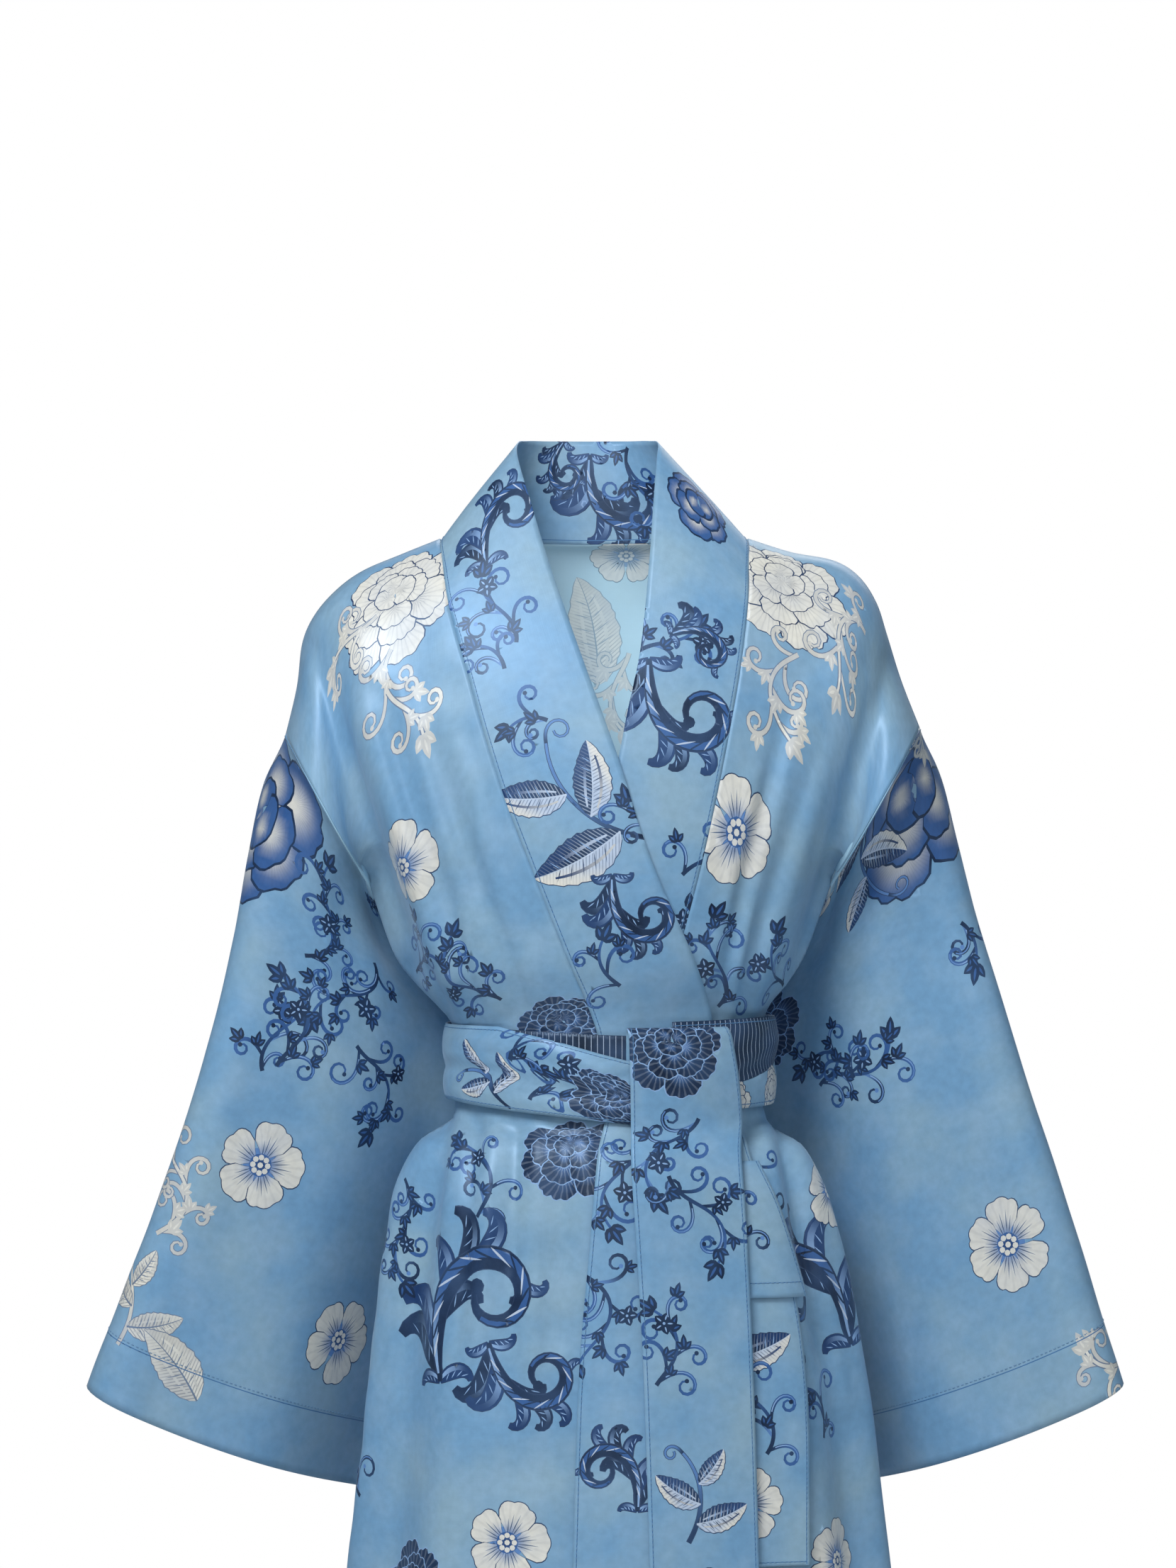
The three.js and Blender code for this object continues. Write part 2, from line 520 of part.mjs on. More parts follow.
// A closed wall of even thickness about a surface. margins keep it clear of its seams.
function wall(surface, { across, down, outward = 1, loop = false, margins = [0, 0, 0, 0], thick = WALL }) {
  const [left, right, top, bottom] = margins;
  const columns = loop ? across : across + 1;
  const position = [];
  for (const face of [1, -1]) {
    for (let j = 0; j <= down; j++) {
      for (let i = 0; i < columns; i++) {
        const u = loop ? i / across : mix(left, 1 - right, i / across);
        const v = mix(top, 1 - bottom, j / down);
        const step = 2e-3;
        const [u0, u1] = loop ? [u - step, u + step] : [max(0, u - step), min(1, u + step)];
        const [v0, v1] = [max(0, v - step), min(1, v + step)];
        const sideways = surface(u1, v).sub(surface(u0, v));
        const normal = sideways.cross(surface(u, v1).sub(surface(u, v0))).normalize();
        const p = surface(u, v).addScaledVector(normal, (outward * face * thick) / 2);
        position.push(p.x, p.y, p.z);
      }
    }
  }
  const sheet = columns * (down + 1);
  const at = (face, i, j) => face * sheet + j * columns + (loop ? i % across : i);
  const index = [];
  const quad = (a, b, c, d) => index.push(a, b, c, a, c, d);
  for (let j = 0; j < down; j++) {
    for (let i = 0; i < across; i++) {
      quad(at(0, i, j), at(0, i, j + 1), at(0, i + 1, j + 1), at(0, i + 1, j));
      quad(at(1, i, j), at(1, i + 1, j), at(1, i + 1, j + 1), at(1, i, j + 1));
    }
  }
  for (let i = 0; i < across; i++) {
    quad(at(0, i, 0), at(0, i + 1, 0), at(1, i + 1, 0), at(1, i, 0));
    quad(at(0, i, down), at(1, i, down), at(1, i + 1, down), at(0, i + 1, down));
  }
  if (!loop) {
    for (let j = 0; j < down; j++) {
      quad(at(0, 0, j), at(1, 0, j), at(1, 0, j + 1), at(0, 0, j + 1));
      quad(at(0, across, j), at(0, across, j + 1), at(1, across, j + 1), at(1, across, j));
    }
  }
  const geometry = new THREE.BufferGeometry();
  geometry.setAttribute("position", new THREE.Float32BufferAttribute(position, 3));
  geometry.setIndex(index);
  if (volumeOf(geometry) < 0) {
    for (let i = 0; i < index.length; i += 3) [index[i + 1], index[i + 2]] = [index[i + 2], index[i + 1]];
    geometry.setIndex(index);
  }
  geometry.computeVertexNormals();
  return geometry;
}

function volumeOf(geometry) {
  const [position, index] = [geometry.getAttribute("position"), geometry.getIndex()];
  const corner = (i) => new THREE.Vector3().fromBufferAttribute(position, index.getX(i));
  let six = 0;
  for (let i = 0; i < index.count; i += 3) six += corner(i).dot(corner(i + 1).cross(corner(i + 2)));
  return six / 6;
}

const satin = new THREE.MeshStandardMaterial({ color: 0x8fb4d4, roughness: 0.42, metalness: 0 });
const garment = new THREE.Group();

function add(name, geometry) {
  const mesh = new THREE.Mesh(geometry, satin.clone());
  mesh.name = name;
  garment.add(mesh);
}

// Margins that keep each piece clear of its seams, as shares of its width and length.
const sideMargin = (SEAM_GAP * 2) / 230;
const endMargin = (SEAM_GAP * 4) / 1200;
add("front_right", wall(frontSurface(-1), {
  across: 17, down: 36, outward: -1, margins: [sideMargin, sideMargin, endMargin, 0],
}));
add("front_left", wall(frontSurface(1), {
  across: 17, down: 36, margins: [sideMargin, sideMargin, endMargin, 0],
}));
add("back", wall(backSurface(), {
  across: 28, down: 34, outward: -1, margins: [sideMargin / 2, sideMargin / 2, endMargin, 0],
}));
const band = bandSurface();
add("collar_band", wall(band.surface, {
  across: (band.count - 1) * 2, down: 5, margins: [0, 0, (SEAM_GAP * 3) / BAND_WIDTH, 0],
}));
add("sleeve_right", wall(sleeveSurface(rightSleeveRows), {
  across: 28, down: 14, loop: true, outward: -1, margins: [0, 0, (SEAM_GAP * 3) / 540, 0],
}));
add("sleeve_left", wall(sleeveSurface(leftSleeveRows), {
  across: 28, down: 14, loop: true, margins: [0, 0, (SEAM_GAP * 3) / 540, 0],
}));
add("belt_wrap", wall(beltSurface(), { across: 44, down: 3, loop: true }));
add("belt_tail_front", wall(frontTailSurface(), { across: 5, down: 36 }));
add("belt_tail_right", wall(tailSurface(leftTailRows, 0.8), { across: 5, down: 13 }));
add("belt_tail_left", wall(tailSurface(rightTailRows), { across: 5, down: 13 }));
add("belt_short_end", wall(tailSurface(shortEndRows), { across: 6, down: 5 }));

export default garment;
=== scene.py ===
import bpy
import math
import time
import numpy as np
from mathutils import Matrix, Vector
from mathutils.geometry import delaunay_2d_cdt


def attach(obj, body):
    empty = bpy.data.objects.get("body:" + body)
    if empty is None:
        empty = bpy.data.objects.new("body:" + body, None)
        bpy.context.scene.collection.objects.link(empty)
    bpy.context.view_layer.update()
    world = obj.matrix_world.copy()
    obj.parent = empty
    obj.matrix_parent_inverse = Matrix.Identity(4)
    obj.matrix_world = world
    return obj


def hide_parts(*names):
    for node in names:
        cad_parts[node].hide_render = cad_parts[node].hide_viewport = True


started = time.time()
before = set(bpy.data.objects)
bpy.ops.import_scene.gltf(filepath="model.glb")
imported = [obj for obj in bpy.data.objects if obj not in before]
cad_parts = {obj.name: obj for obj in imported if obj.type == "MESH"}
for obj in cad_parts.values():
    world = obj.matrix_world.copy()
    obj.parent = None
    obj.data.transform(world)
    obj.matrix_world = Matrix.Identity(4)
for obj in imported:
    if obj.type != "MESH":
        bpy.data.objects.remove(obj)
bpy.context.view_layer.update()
halfTurn = math.pi / 2


def report(text):
    print(f"[kimono] {text} ({time.time() - started:.1f} s)", flush=True)


# All lengths below are millimetres, and metres only where a mesh is made.
# +Z is up, the front faces -Y, and left and right columns are the -X and +X sides.
def table(names, *rows):
    return dict(zip(names.split(), np.array(rows, float).T))


robe = {
    "chestZ": -275, "hemZ": -1200, "bandWidth": 88, "neckShare": 0.42, "wrapOffset": 3.4,
    "armholeHalf": 70, "beltWidth": 82, "beltTop": -391, "beltOffset": 11, "tailLevel": -425,
    "rimHalf": 57, "rimX": -9, "neckDepth": 62, "underarmGap": 2, "cuffDip": 0.45, "wall": 1.0, "hemDepth": 24,
    "chestDeep": 120, "waist": (120, 92),  # half of the waist across and deep
}
bodyRows = table(
    "z left right front back",
    (-275, 188, 190, 120, 108), (-335, 167, 168, 113, 101), (-360, 149, 153, 104, 96),
    (-377, 131, 139, 96.5, 91), (-392, 118, 133, 93, 87.5), (-412, 115, 132, 92.5, 87),
    (-467, 115, 132, 92.5, 87), (-479, 129, 142, 94.5, 91), (-492, 148, 161, 103, 102),
    (-525, 162, 178, 113, 113), (-590, 172, 195, 119, 123), (-680, 181, 211, 125, 131),
    (-800, 193, 224, 132, 138), (-930, 206, 236, 140, 146), (-1065, 219, 247, 149, 154),
    (-1200, 231, 257, 157, 161))
shoulderRows = table(
    "along leftX leftZ rightX rightZ",
    (0, 129, 0, 121, 0), (0.17, 160, -13, 155, -11), (0.33, 190, -26, 190, -18),
    (0.47, 211, -41, 210, -31), (0.6, 229, -61, 224, -52), (0.73, 240, -84, 233, -78),
    (0.87, 245, -120, 245, -115), (1, 254, -158, 260, -153))
seamRows = table(
    "z left right",
    (0, -129, 121), (-58, -120, 119), (-111, -105, 112), (-196, -80, 96), (-252, -58, 84),
    (-307, -38, 70), (-390, -4, 48), (-470, 8, 38), (-590, 18, 30), (-800, 30, 22), (-1200, 46, 10))
neckRows = ((0, 0, 70, 83), (0.22, 0.52, 66, 83), (0.51, 0.88, 44, 82), (0.76, 1, 20, 79))  # along, edge x, y, z
frontBandRows = (  # seam z, left edge x and z, right edge x and z, edge y
    (-4, -66, 66, 47, 66, -2), (-28, -56, 31, 44, 31, -32), (-58, -40, -22, 40, -22, -62),
    (-108, -20, -80, 33, -90, -90), (-160, -1, -133, 22, -143, -107), (-212, 17, -184, 12, -190, -116))
bandHeights = (-264, -308, -342, -366, -384, -400, -430, -460, -476, -490, -510, -560,
               -670, -800, -940, -1070, -1200)
sleeveNames = "along outX outY outZ inX inY inZ half taper"
rightSleeveRows = table(
    sleeveNames,
    (0, -254, 0, -158, -188, 0, -275, 70, 0), (0.08, -266, 0, -196, -182, 40, -300, 68, 0.65),
    (0.2, -281, -3, -259, -154, 68, -345, 56, 0.78), (0.35, -296, -6, -331, -105, 100, -412, 46, 0.6),
    (0.5, -314, -10, -408, -94, 120, -484, 45, 0.5), (0.7, -343, -14, -503, -112, 142, -586, 46, 0.4),
    (0.85, -374, -16, -590, -134, 156, -676, 48, 0.3), (1, -412, -16, -692, -160, 170, -784, 52, 0.15))
leftSleeveRows = table(
    sleeveNames,
    (0, 260, 0, -153, 190, 0, -275, 70, 0), (0.08, 271, 0, -188, 184, 40, -299, 68, 0.65),
    (0.2, 287, -3, -246, 158, 68, -343, 56, 0.78), (0.35, 306, -6, -313, 121, 100, -408, 46, 0.6),
    (0.5, 328, -10, -386, 112, 122, -478, 45, 0.5), (0.7, 357, -14, -480, 134, 146, -580, 46, 0.4),
    (0.85, 385, -16, -571, 158, 162, -670, 48, 0.3), (1, 421, -16, -690, 184, 176, -780, 52, 0.15))
# Soft folds as lines: x, z at both ends, how far each side they reach, their height.
frontFolds = (
    (-226, -70, -143, -345, 17, -10), (-204, -60, -118, -350, 18, 7), (-188, -150, -98, -372, 20, 6),
    (226, -90, 152, -350, 18, -9), (205, -70, 130, -352, 19, 7), (172, -110, 104, -365, 17, -4))
backFolds = (
    (-228, -80, -140, -350, 20, -8), (-190, -120, -84, -372, 24, 6), (228, -84, 142, -350, 20, -8),
    (186, -130, 92, -372, 24, 6), (-30, -150, -12, -380, 30, 5))
# Folds that fall from the belt: ring angle, turn to the hem, reach, height at belt and hem.
skirtFolds = (
    (-78, -2, 9, 5, 13), (-58, 2, 8, -3, -9), (-40, 8, 9, 5, 10), (-14, 3, 9, -2, -7),
    (46, 4, 8, 5, 10), (62, 3, 7, -4, -9), (78, 2, 8, 7, 14), (104, 0, 9, -4, -9), (124, -2, 10, 5, 12),
    (152, 2, 10, -4, -9), (178, -3, 11, 5, 12), (206, -2, 10, -4, -10), (232, 2, 10, 5, 12),
    (256, 0, 9, -3, -8))
# Folds along a sleeve: angle round its section from the outer end over the front, reach, heights.
sleeveFolds = (
    (42, 16, 0, 3, 6), (82, 17, -2, -5, -9), (122, 16, 3, 6, 8), (205, 18, 2, -4, -7),
    (250, 20, -2, 5, 9), (300, 18, 0, -4, -7))
tailNames = "z x wide out"
frontTailRows = table(
    tailNames, (-399, 58, 73, 16), (-432, 60, 76, 18), (-500, 64, 81, 15), (-560, 69, 83, 11.6),
    (-667, 75, 83, 10), (-900, 82, 83, 9.4))
rightTailRows = table(
    tailNames, (-446, 30, 44, 3), (-474, 29, 52, 3.2), (-486, 29, 58, 5), (-500, 29, 62, 6),
    (-560, 31, 76, 6), (-667, 26, 83, 6), (-850, 20, 83, 6))
leftTailRows = table(
    tailNames, (-446, 84, 40, 3), (-474, 87, 46, 3.4), (-486, 88, 50, 4.8), (-500, 90, 54, 4.8),
    (-560, 102, 74, 4.2), (-667, 116, 81, 4), (-820, 119, 81, 4))
# The belt's edges round the waist: ring angle from the front over +X, and the crease between its two rolls.
beltEdges = table(
    "angle top low crease", (24, -389, -460, 0.62), (60, -387, -459, 0.6), (92, -387, -457, 0.55),
    (180, -392, -458, 0.5), (262, -393, -453, 0.58), (290, -393, -454, 0.6), (319, -393, -459, 0.62),
    (345, -405, -464, 0.6), (370, -420, -470, 0.56), (385, -423, -470, 0.56))
shortEndRows = table(tailNames, (-500, 104, 32, 8), (-540, 110, 52, 7.6), (-608, 116, 83, 7.2))


def clamp(t):
    return np.clip(t, 0, 1)


def ease(t):
    return clamp(t) ** 2 * (3 - 2 * clamp(t))


def mix(a, b, t):
    return a + (b - a) * t


def vec(x, y, z):
    return np.stack(np.broadcast_arrays(x, y, z), -1).astype(float)


def unit(v):
    return v / np.maximum(np.linalg.norm(v, axis=-1, keepdims=True), 1e-9)


# Smooth cubic through one column of a table.
def lookUp(rows, key, at, name):
    keys, values = rows[key], rows[name]
    if keys[-1] < keys[0]:
        keys, values = keys[::-1], values[::-1]
    before, after = np.maximum(np.arange(len(keys)) - 1, 0), np.minimum(np.arange(len(keys)) + 1, len(keys) - 1)
    slopes = (values[after] - values[before]) / (keys[after] - keys[before])
    x = np.clip(at, keys[0], keys[-1])
    i = np.clip(np.searchsorted(keys, x) - 1, 0, len(keys) - 2)
    span = keys[i + 1] - keys[i]
    t = (x - keys[i]) / span
    bend = (t * t - 2 * t + 1) * t * slopes[i] * span + (t - 1) * t * t * slopes[i + 1] * span
    return mix(values[i], values[i + 1], t * t * (3 - 2 * t)) + bend


# A smooth surface through rows of points. At the corner row it may turn sharply, by a share per column.
def sweep(rows, at, corner=(-1, 0)):
    last = len(rows) - 1
    at = clamp(at) * last
    i = np.minimum(last - 1, at.astype(int))
    t = (at - i)[:, None, None]
    b, c = rows[i], rows[i + 1]
    a = np.where((i > 0)[:, None, None], rows[np.maximum(i - 1, 0)], 2 * b - c)
    d = np.where((i + 2 <= last)[:, None, None], rows[np.minimum(i + 2, last)], 2 * c - b)
    index, share = corner
    share = np.reshape(share, (1, -1, 1))
    a = mix(a, 2 * b - c, share * (i == index)[:, None, None])
    d = mix(d, 2 * c - b, share * (i + 1 == index)[:, None, None])
    return b + 0.5 * t * (c - a + t * (2 * a - 5 * b + 4 * c - d + t * (3 * (b - c) + d - a)))


def bodyAt(z, name):
    return lookUp(bodyRows, "z", z, name)


def ringPoint(angle, z):
    across = np.sin(angle)
    wide = np.where(across < 0, bodyAt(z, "left"), bodyAt(z, "right"))
    deep = np.where(np.cos(angle) > 0, bodyAt(z, "front"), bodyAt(z, "back"))
    return vec(wide * across, -deep * np.cos(angle), z)


def shoulderPoint(side, along):
    name = "left" if side < 0 else "right"
    return vec(side * lookUp(shoulderRows, "along", along, name + "X"), 0,
               lookUp(shoulderRows, "along", along, name + "Z"))


def neckSeam(across):
    side = np.where(across < 0, -1, 1)
    endX = np.where(across < 0, -shoulderRows["leftX"][0], shoulderRows["rightX"][0])
    turn = np.abs(across) * halfTurn
    return vec(mix(robe["rimX"], endX, np.sin(turn)), robe["neckDepth"] * np.cos(turn),
               mix(-2, 0, np.sin(turn))) + 0 * side[..., None]


# A column's point between the shoulder line and the chest: near the sleeve it turns into the armhole.
def upperPoint(top, chest, outer, back, t):
    share = outer ** 2
    down = mix(1 - math.cos(halfTurn * t), (1 - math.cos(math.pi * t)) / 2, share)
    depth = mix(top[:, 1], chest[:, 1], math.sin(halfTurn * t))
    arm = (1 if back else -1) * robe["armholeHalf"] * math.sin(math.pi * t) * share
    return vec(mix(top[:, 0], chest[:, 0], down), depth + arm, mix(top[:, 2], chest[:, 2], down))


upperSteps = (0, 0.14, 0.28, 0.42, 0.58, 0.72, 0.86, 1)


def lineFolds(folds, x, z):
    total = np.zeros(np.shape(x))
    for x0, z0, x1, z1, reach, high in folds:
        dx, dz = x1 - x0, z1 - z0
        t = clamp(((x - x0) * dx + (z - z0) * dz) / (dx * dx + dz * dz))
        away = np.hypot(x - x0 - t * dx, z - z0 - t * dz)
        total += high * (0.35 + 0.65 * np.sin(math.pi * clamp(0.12 + t * 0.8))) * np.exp(-((away / reach) ** 2))
    return total


def skirtHeight(angle, z):
    low = robe["beltTop"] - robe["beltWidth"]
    down = clamp((low - z) / (low - robe["hemZ"]))
    total = np.zeros(np.shape(z + angle))
    for at, turn, reach, belt, hem in skirtFolds:
        away = (np.degrees(angle) - at - turn * down + 540) % 360 - 180
        total += mix(belt, hem, down ** 0.7) * np.exp(-((away / reach) ** 2))
    return total * ease((low - 3 - z) / 60)


def wrapLift(x, z):
    return (robe["wrapOffset"] + 2.5 * ease((-560 - z) / 400)) * ease((x + 160) / 80) * ease((-100 - z) / 120)


# Unit normals of a grid of points, rows down and columns across.
def gridNormals(grid):
    return unit(np.cross(np.gradient(grid, axis=1), np.gradient(grid, axis=0)))


# Whether those normals point away from the middle of the body.
def facingOf(grid, middles=(0, 40, 0)):
    return np.sign((gridNormals(grid) * (grid - middles) * (1, 1, 0)).sum())


def ringAngleOf(p):
    return np.arctan2(p[..., 0] / np.where(p[..., 0] < 0, bodyAt(p[..., 2], "left"), bodyAt(p[..., 2], "right")),
                      -p[..., 1] / robe["chestDeep"])


us, vs = np.linspace(0, 1, 141), np.linspace(0, 1, 621)


# A front from its collar seam to its armhole and side seam.
def frontGrid(side):
    name = "left" if side < 0 else "right"

    def seamX(z):
        return lookUp(seamRows, "z", z, name)

    def onRing(z):
        x = seamX(z)
        start = math.asin(x / bodyAt(z, "left" if x < 0 else "right"))
        return ringPoint(mix(start, side * halfTurn, us), np.full(us.shape, float(z)))

    chest, rows = onRing(robe["chestZ"]), []
    for t in upperSteps:
        p = upperPoint(shoulderPoint(side, us), chest, us, False, t)
        straight = mix(seamX(0), seamX(robe["chestZ"]), p[:, 2] / robe["chestZ"])
        p[:, 0] += (seamX(p[:, 2]) - straight) * (1 - us) ** 2
        rows.append(p)
    rows += [onRing(z) for z in bodyRows["z"][1:]]
    grid = sweep(np.array(rows), vs, (len(upperSteps) - 1, us ** 6))
    x, z, u, v = grid[..., 0], grid[..., 2], us[None, :], vs[:, None]
    folds = lineFolds(frontFolds, x, z) * ease((v - 0.02) / 0.14) * ease((1 - u) / 0.2)
    skirt = np.where(z < robe["chestZ"], skirtHeight(ringAngleOf(grid), z), 0) * ease((1 - u) / 0.06)
    lift = wrapLift(x, z) if side < 0 else 0
    return grid + gridNormals(grid) * -side * (lift + folds + skirt)[..., None]


def backGrid():
    across = 2 * us - 1
    out = clamp((np.abs(across) - robe["neckShare"]) / (1 - robe["neckShare"]))
    shoulder = np.where((across < 0)[:, None], shoulderPoint(-1, out), shoulderPoint(1, out))
    top = np.where((out > 0)[:, None], shoulder, neckSeam(across / robe["neckShare"]))

    def onRing(z):
        return ringPoint(math.pi + halfTurn * (1 - 2 * us), np.full(us.shape, float(z)))

    chest = onRing(robe["chestZ"])
    rows = [upperPoint(top, chest, out, True, t) for t in upperSteps]
    rows += [onRing(z) for z in bodyRows["z"][1:]]
    grid = sweep(np.array(rows), vs, (len(upperSteps) - 1, np.abs(across) ** 12))
    x, z, u, v = grid[..., 0], grid[..., 2], us[None, :], vs[:, None]
    folds = lineFolds(backFolds, x, z) * ease((v - 0.02) / 0.14)
    skirt = np.where(z < robe["chestZ"], skirtHeight(ringAngleOf(grid), z), 0)
    high = (folds + skirt) * ease(u / 0.03) * ease((1 - u) / 0.03)
    return grid + gridNormals(grid) * high[..., None]


# A point on the front of the body: layer 0 is the lower front, 1 the upper one.
def onFront(x, z, layer, out=0.0):
    low = np.minimum(z, robe["chestZ"])
    wide = np.where(x < 0, bodyAt(low, "left"), bodyAt(low, "right"))
    across = np.clip(x / wide, -0.98, 0.98)
    angle, deep = np.arcsin(across), bodyAt(low, "front")
    rise = np.where(z > robe["chestZ"], np.sqrt(np.maximum(0, 1 - (1 - z / robe["chestZ"]) ** 2)), 1)
    normal = unit(vec(across / wide, -np.cos(angle) / deep, 0))
    high = skirtHeight(angle, z) + layer * wrapLift(x, z) + out
    return vec(wide * across, -deep * np.cos(angle) * rise, z) + normal * np.asarray(high)[..., None]


# Rows of the collar band from the back of the neck down one front, each from its seam to its free edge.
def bandRows(side, front, vAcross):
    name, layer = ("left", 1) if side < 0 else ("right", 0)
    seamLine = front[:, 0]

    def seamAt(z):
        return np.array([np.interp(-z, -seamLine[:, 2], seamLine[:, k]) for k in range(3)])

    def seamX(z):
        return lookUp(seamRows, "z", z, name)

    pairs = [(neckSeam(np.array(side * along)), np.array([robe["rimX"] + side * robe["rimHalf"] * x, y, z]))
             for along, x, y, z in neckRows]
    for seamZ, leftX, leftZ, rightX, rightZ, edgeY in frontBandRows:
        x, z = (leftX, leftZ) if side < 0 else (rightX, rightZ)
        pairs.append((seamAt(seamZ), np.array([x, edgeY - layer * wrapLift(x, z), z])))
    v = vAcross[:, None]
    bulge = np.array([side * 0.5, -0.6, 0.5]) * 3
    rows = [seam + (edge - seam) * v + bulge * 4 * v * (1 - v) for seam, edge in pairs]
    for z in bandHeights:
        slope = (seamX(z + 25) - seamX(z - 25)) / 50
        level = clamp((z - robe["hemZ"]) / 120)
        reach = robe["bandWidth"] * 1.03 / math.hypot(1, slope)
        x = seamX(z) - side * reach * vAcross
        p = onFront(x, z + side * reach * vAcross * slope * level, layer, layer * vAcross * 0.8)
        rows.append(p + (seamAt(z) - p[0]) * (1 - v) ** 2)
    return rows


def bandGrid(frontRight, frontLeft):
    vAcross = np.linspace(0, 1, 41)
    rows = bandRows(-1, frontRight, vAcross)[::-1] + bandRows(1, frontLeft, vAcross)[1:]
    return sweep(np.array(rows), np.linspace(0, 1, 1400))


# A sleeve as one sheet, cut at its underarm seam. Columns run towards +X over the front.
def sleeveGrid(rows, side):
    v = vs[:, None]
    u = np.linspace(0.5, 1.5, 301)[None, :] if side < 0 else np.linspace(0.5, -0.5, 301)[None, :]

    def at(along, name):
        return vec(*(lookUp(rows, "along", along, name + axis) for axis in "XYZ"))

    slope = at(0, "out") - at(0, "in")
    away = unit(np.array([side * slope[2], 0, -side * slope[0]]))
    outer, inner = at(v, "out"), at(v, "in")
    middle, half = (outer + inner) / 2, (outer - inner) / 2
    front = unit(vec(-half[..., 1], half[..., 0], 0))
    front = np.where(front[..., 1:2] > 0, -front, front)
    front[..., 2] = -robe["cuffDip"] * v[:, :1] ** 2
    turn = 2 * math.pi * u
    inward = (1 - np.cos(turn)) / 2
    thick = lookUp(rows, "along", v, "half") * (1 - lookUp(rows, "along", v, "taper") * inward)
    grid = middle + away * (robe["underarmGap"] * inward)[..., None]
    grid = grid + half * np.cos(turn)[..., None] + front * (thick * np.sin(turn))[..., None]
    high = np.zeros(grid.shape[:2])
    for angle, reach, top, mid, cuff in sleeveFolds:
        apart = (360 * u - angle + 540) % 360 - 180
        rise = np.where(v < 0.5, mix(top, mid, 2 * v), mix(mid, cuff, 2 * v - 1))
        high += ease(v / 0.12) * rise * np.exp(-((apart / reach) ** 2))
    return grid + gridNormals(grid) * high[..., None]


# The belt's ring, cut behind the knot. Columns run from the knot towards +X and round the back.
def beltGrid(start=0.068, end=1.068, inward=0.0, count=601, edges=None):
    v = np.linspace(0, 1, 61)[:, None]
    angle = 2 * math.pi * np.linspace(start, end, count)[None, :]
    top, low = (np.interp(np.degrees(angle), beltEdges["angle"], beltEdges[k]) for k in ("top", "low"))
    if edges:
        top, low = np.linspace(edges[0], edges[1], count)[None, :], edges[2]
    p = ringPoint(angle + 0 * v, np.full((61, count), robe["beltTop"] - robe["beltWidth"] / 2))
    crease = np.interp(np.degrees(angle), beltEdges["angle"], beltEdges["crease"])
    above, below = clamp(v / crease), clamp((v - crease) / (1 - crease))
    upper, lower = 3.0 * np.sin(math.pi * above) ** 0.8, 2.4 * np.sin(math.pi * below) ** 0.8
    roll = upper * (v < crease) + lower * (v >= crease)
    wide, deep = robe["waist"]
    out = unit(vec(p[..., 0] / wide ** 2, p[..., 1] / deep ** 2, 0))
    p[..., 2] = mix(top, low, v)
    return p + out * (robe["beltOffset"] - 0.6 - inward + roll * (inward == 0))[..., None]


def tailGrid(rows, ripple=0.0, count=(161, 41)):
    v, u = np.linspace(0, 1, count[0])[:, None], np.linspace(0, 1, count[1])[None, :]
    z = mix(rows["z"][0], rows["z"][-1], v)
    x = lookUp(rows, "z", z, "x") + (u - 0.5) * lookUp(rows, "z", z, "wide")
    wave = ripple * np.sin(math.pi * v) * (1 + np.sin(2 * math.pi * u + 3 * v))
    p = onFront(x, np.minimum(z, robe["tailLevel"]) + 0 * x, 1, lookUp(rows, "z", z, "out") + wave)
    p[..., 2] = z
    return p


# The front tail comes up behind the belt, folds over its top edge and hangs down the front.
def frontTailGrid():
    hanging = tailGrid(frontTailRows, 0.6, (301, 41))
    behind, before, tuck, middle, wide = 5.0, 16.0, 34.0, 57, 73
    radius = (before - behind) / 2
    x = hanging[0, :, 0][None, :]
    rise, turn = np.linspace(0, 1, 14)[:-1, None], np.linspace(0, 1, 16)[:-1, None] * math.pi
    rise = np.concatenate([rise, np.ones((15, 1))])
    turn = np.concatenate([np.zeros((13, 1)), turn])
    across = middle + (np.linspace(0, 1, 41)[None, :] - 0.5) * wide + 0 * rise
    p = onFront(across, np.full(across.shape, robe["tailLevel"]), 1, behind + radius * (1 - np.cos(turn)))
    p[..., 2] = frontTailRows["z"][0] + radius * np.sin(turn) - tuck * (1 - rise) + 0 * x
    return np.concatenate([p, hanging])


def toLinear(colour):
    values = [int(colour[i:i + 2], 16) / 255 for i in (1, 3, 5)]
    return np.array([c / 12.92 if c <= 0.04045 else ((c + 0.055) / 1.055) ** 2.4 for c in values])


# Inks of the print, as they look in even light; seam is not print but the painted shade in the dent of a sewn line.
inks = {
    "navy": "#0c1831", "deep": "#17305c", "blue": "#32578f", "mid": "#5c83ba", "sky": "#8fb0d8",
    "pale": "#c3cfdf", "ivory": "#e3dfd2", "cream": "#cfccc2", "grey": "#6f7c8e", "line": "#27324c",
    "lining": "#090e1c", "stripe": "#b4c2d4", "seam": "#3f6c98",
}


# One flat shape of the print: colour runs from near at start to far at end, and fine
# engraved lines of that spacing run the same way and die out.
def shape(polygons, near, far=None, start=(0, 0), end=(0, 1), radial=False, lines=0.0, dark=0.0):
    return {"polygons": [np.asarray(p, float) for p in polygons], "near": near, "far": far or near,
            "start": np.array(start, float), "end": np.array(end, float), "radial": radial,
            "lines": lines, "dark": dark}


def placed(shapes, x, y, turn=0.0, flip=False):
    c, s = math.cos(math.radians(turn)), math.sin(math.radians(turn))
    matrix = np.array([[c, s], [-s, c]])
    if flip:
        matrix = np.array([[-1, 0], [0, 1]]) @ matrix
    spot = np.array([x, y])
    return [dict(item, polygons=[p @ matrix + spot for p in item["polygons"]], start=item["start"] @ matrix + spot,
                 end=item["end"] @ matrix + spot) for item in shapes]


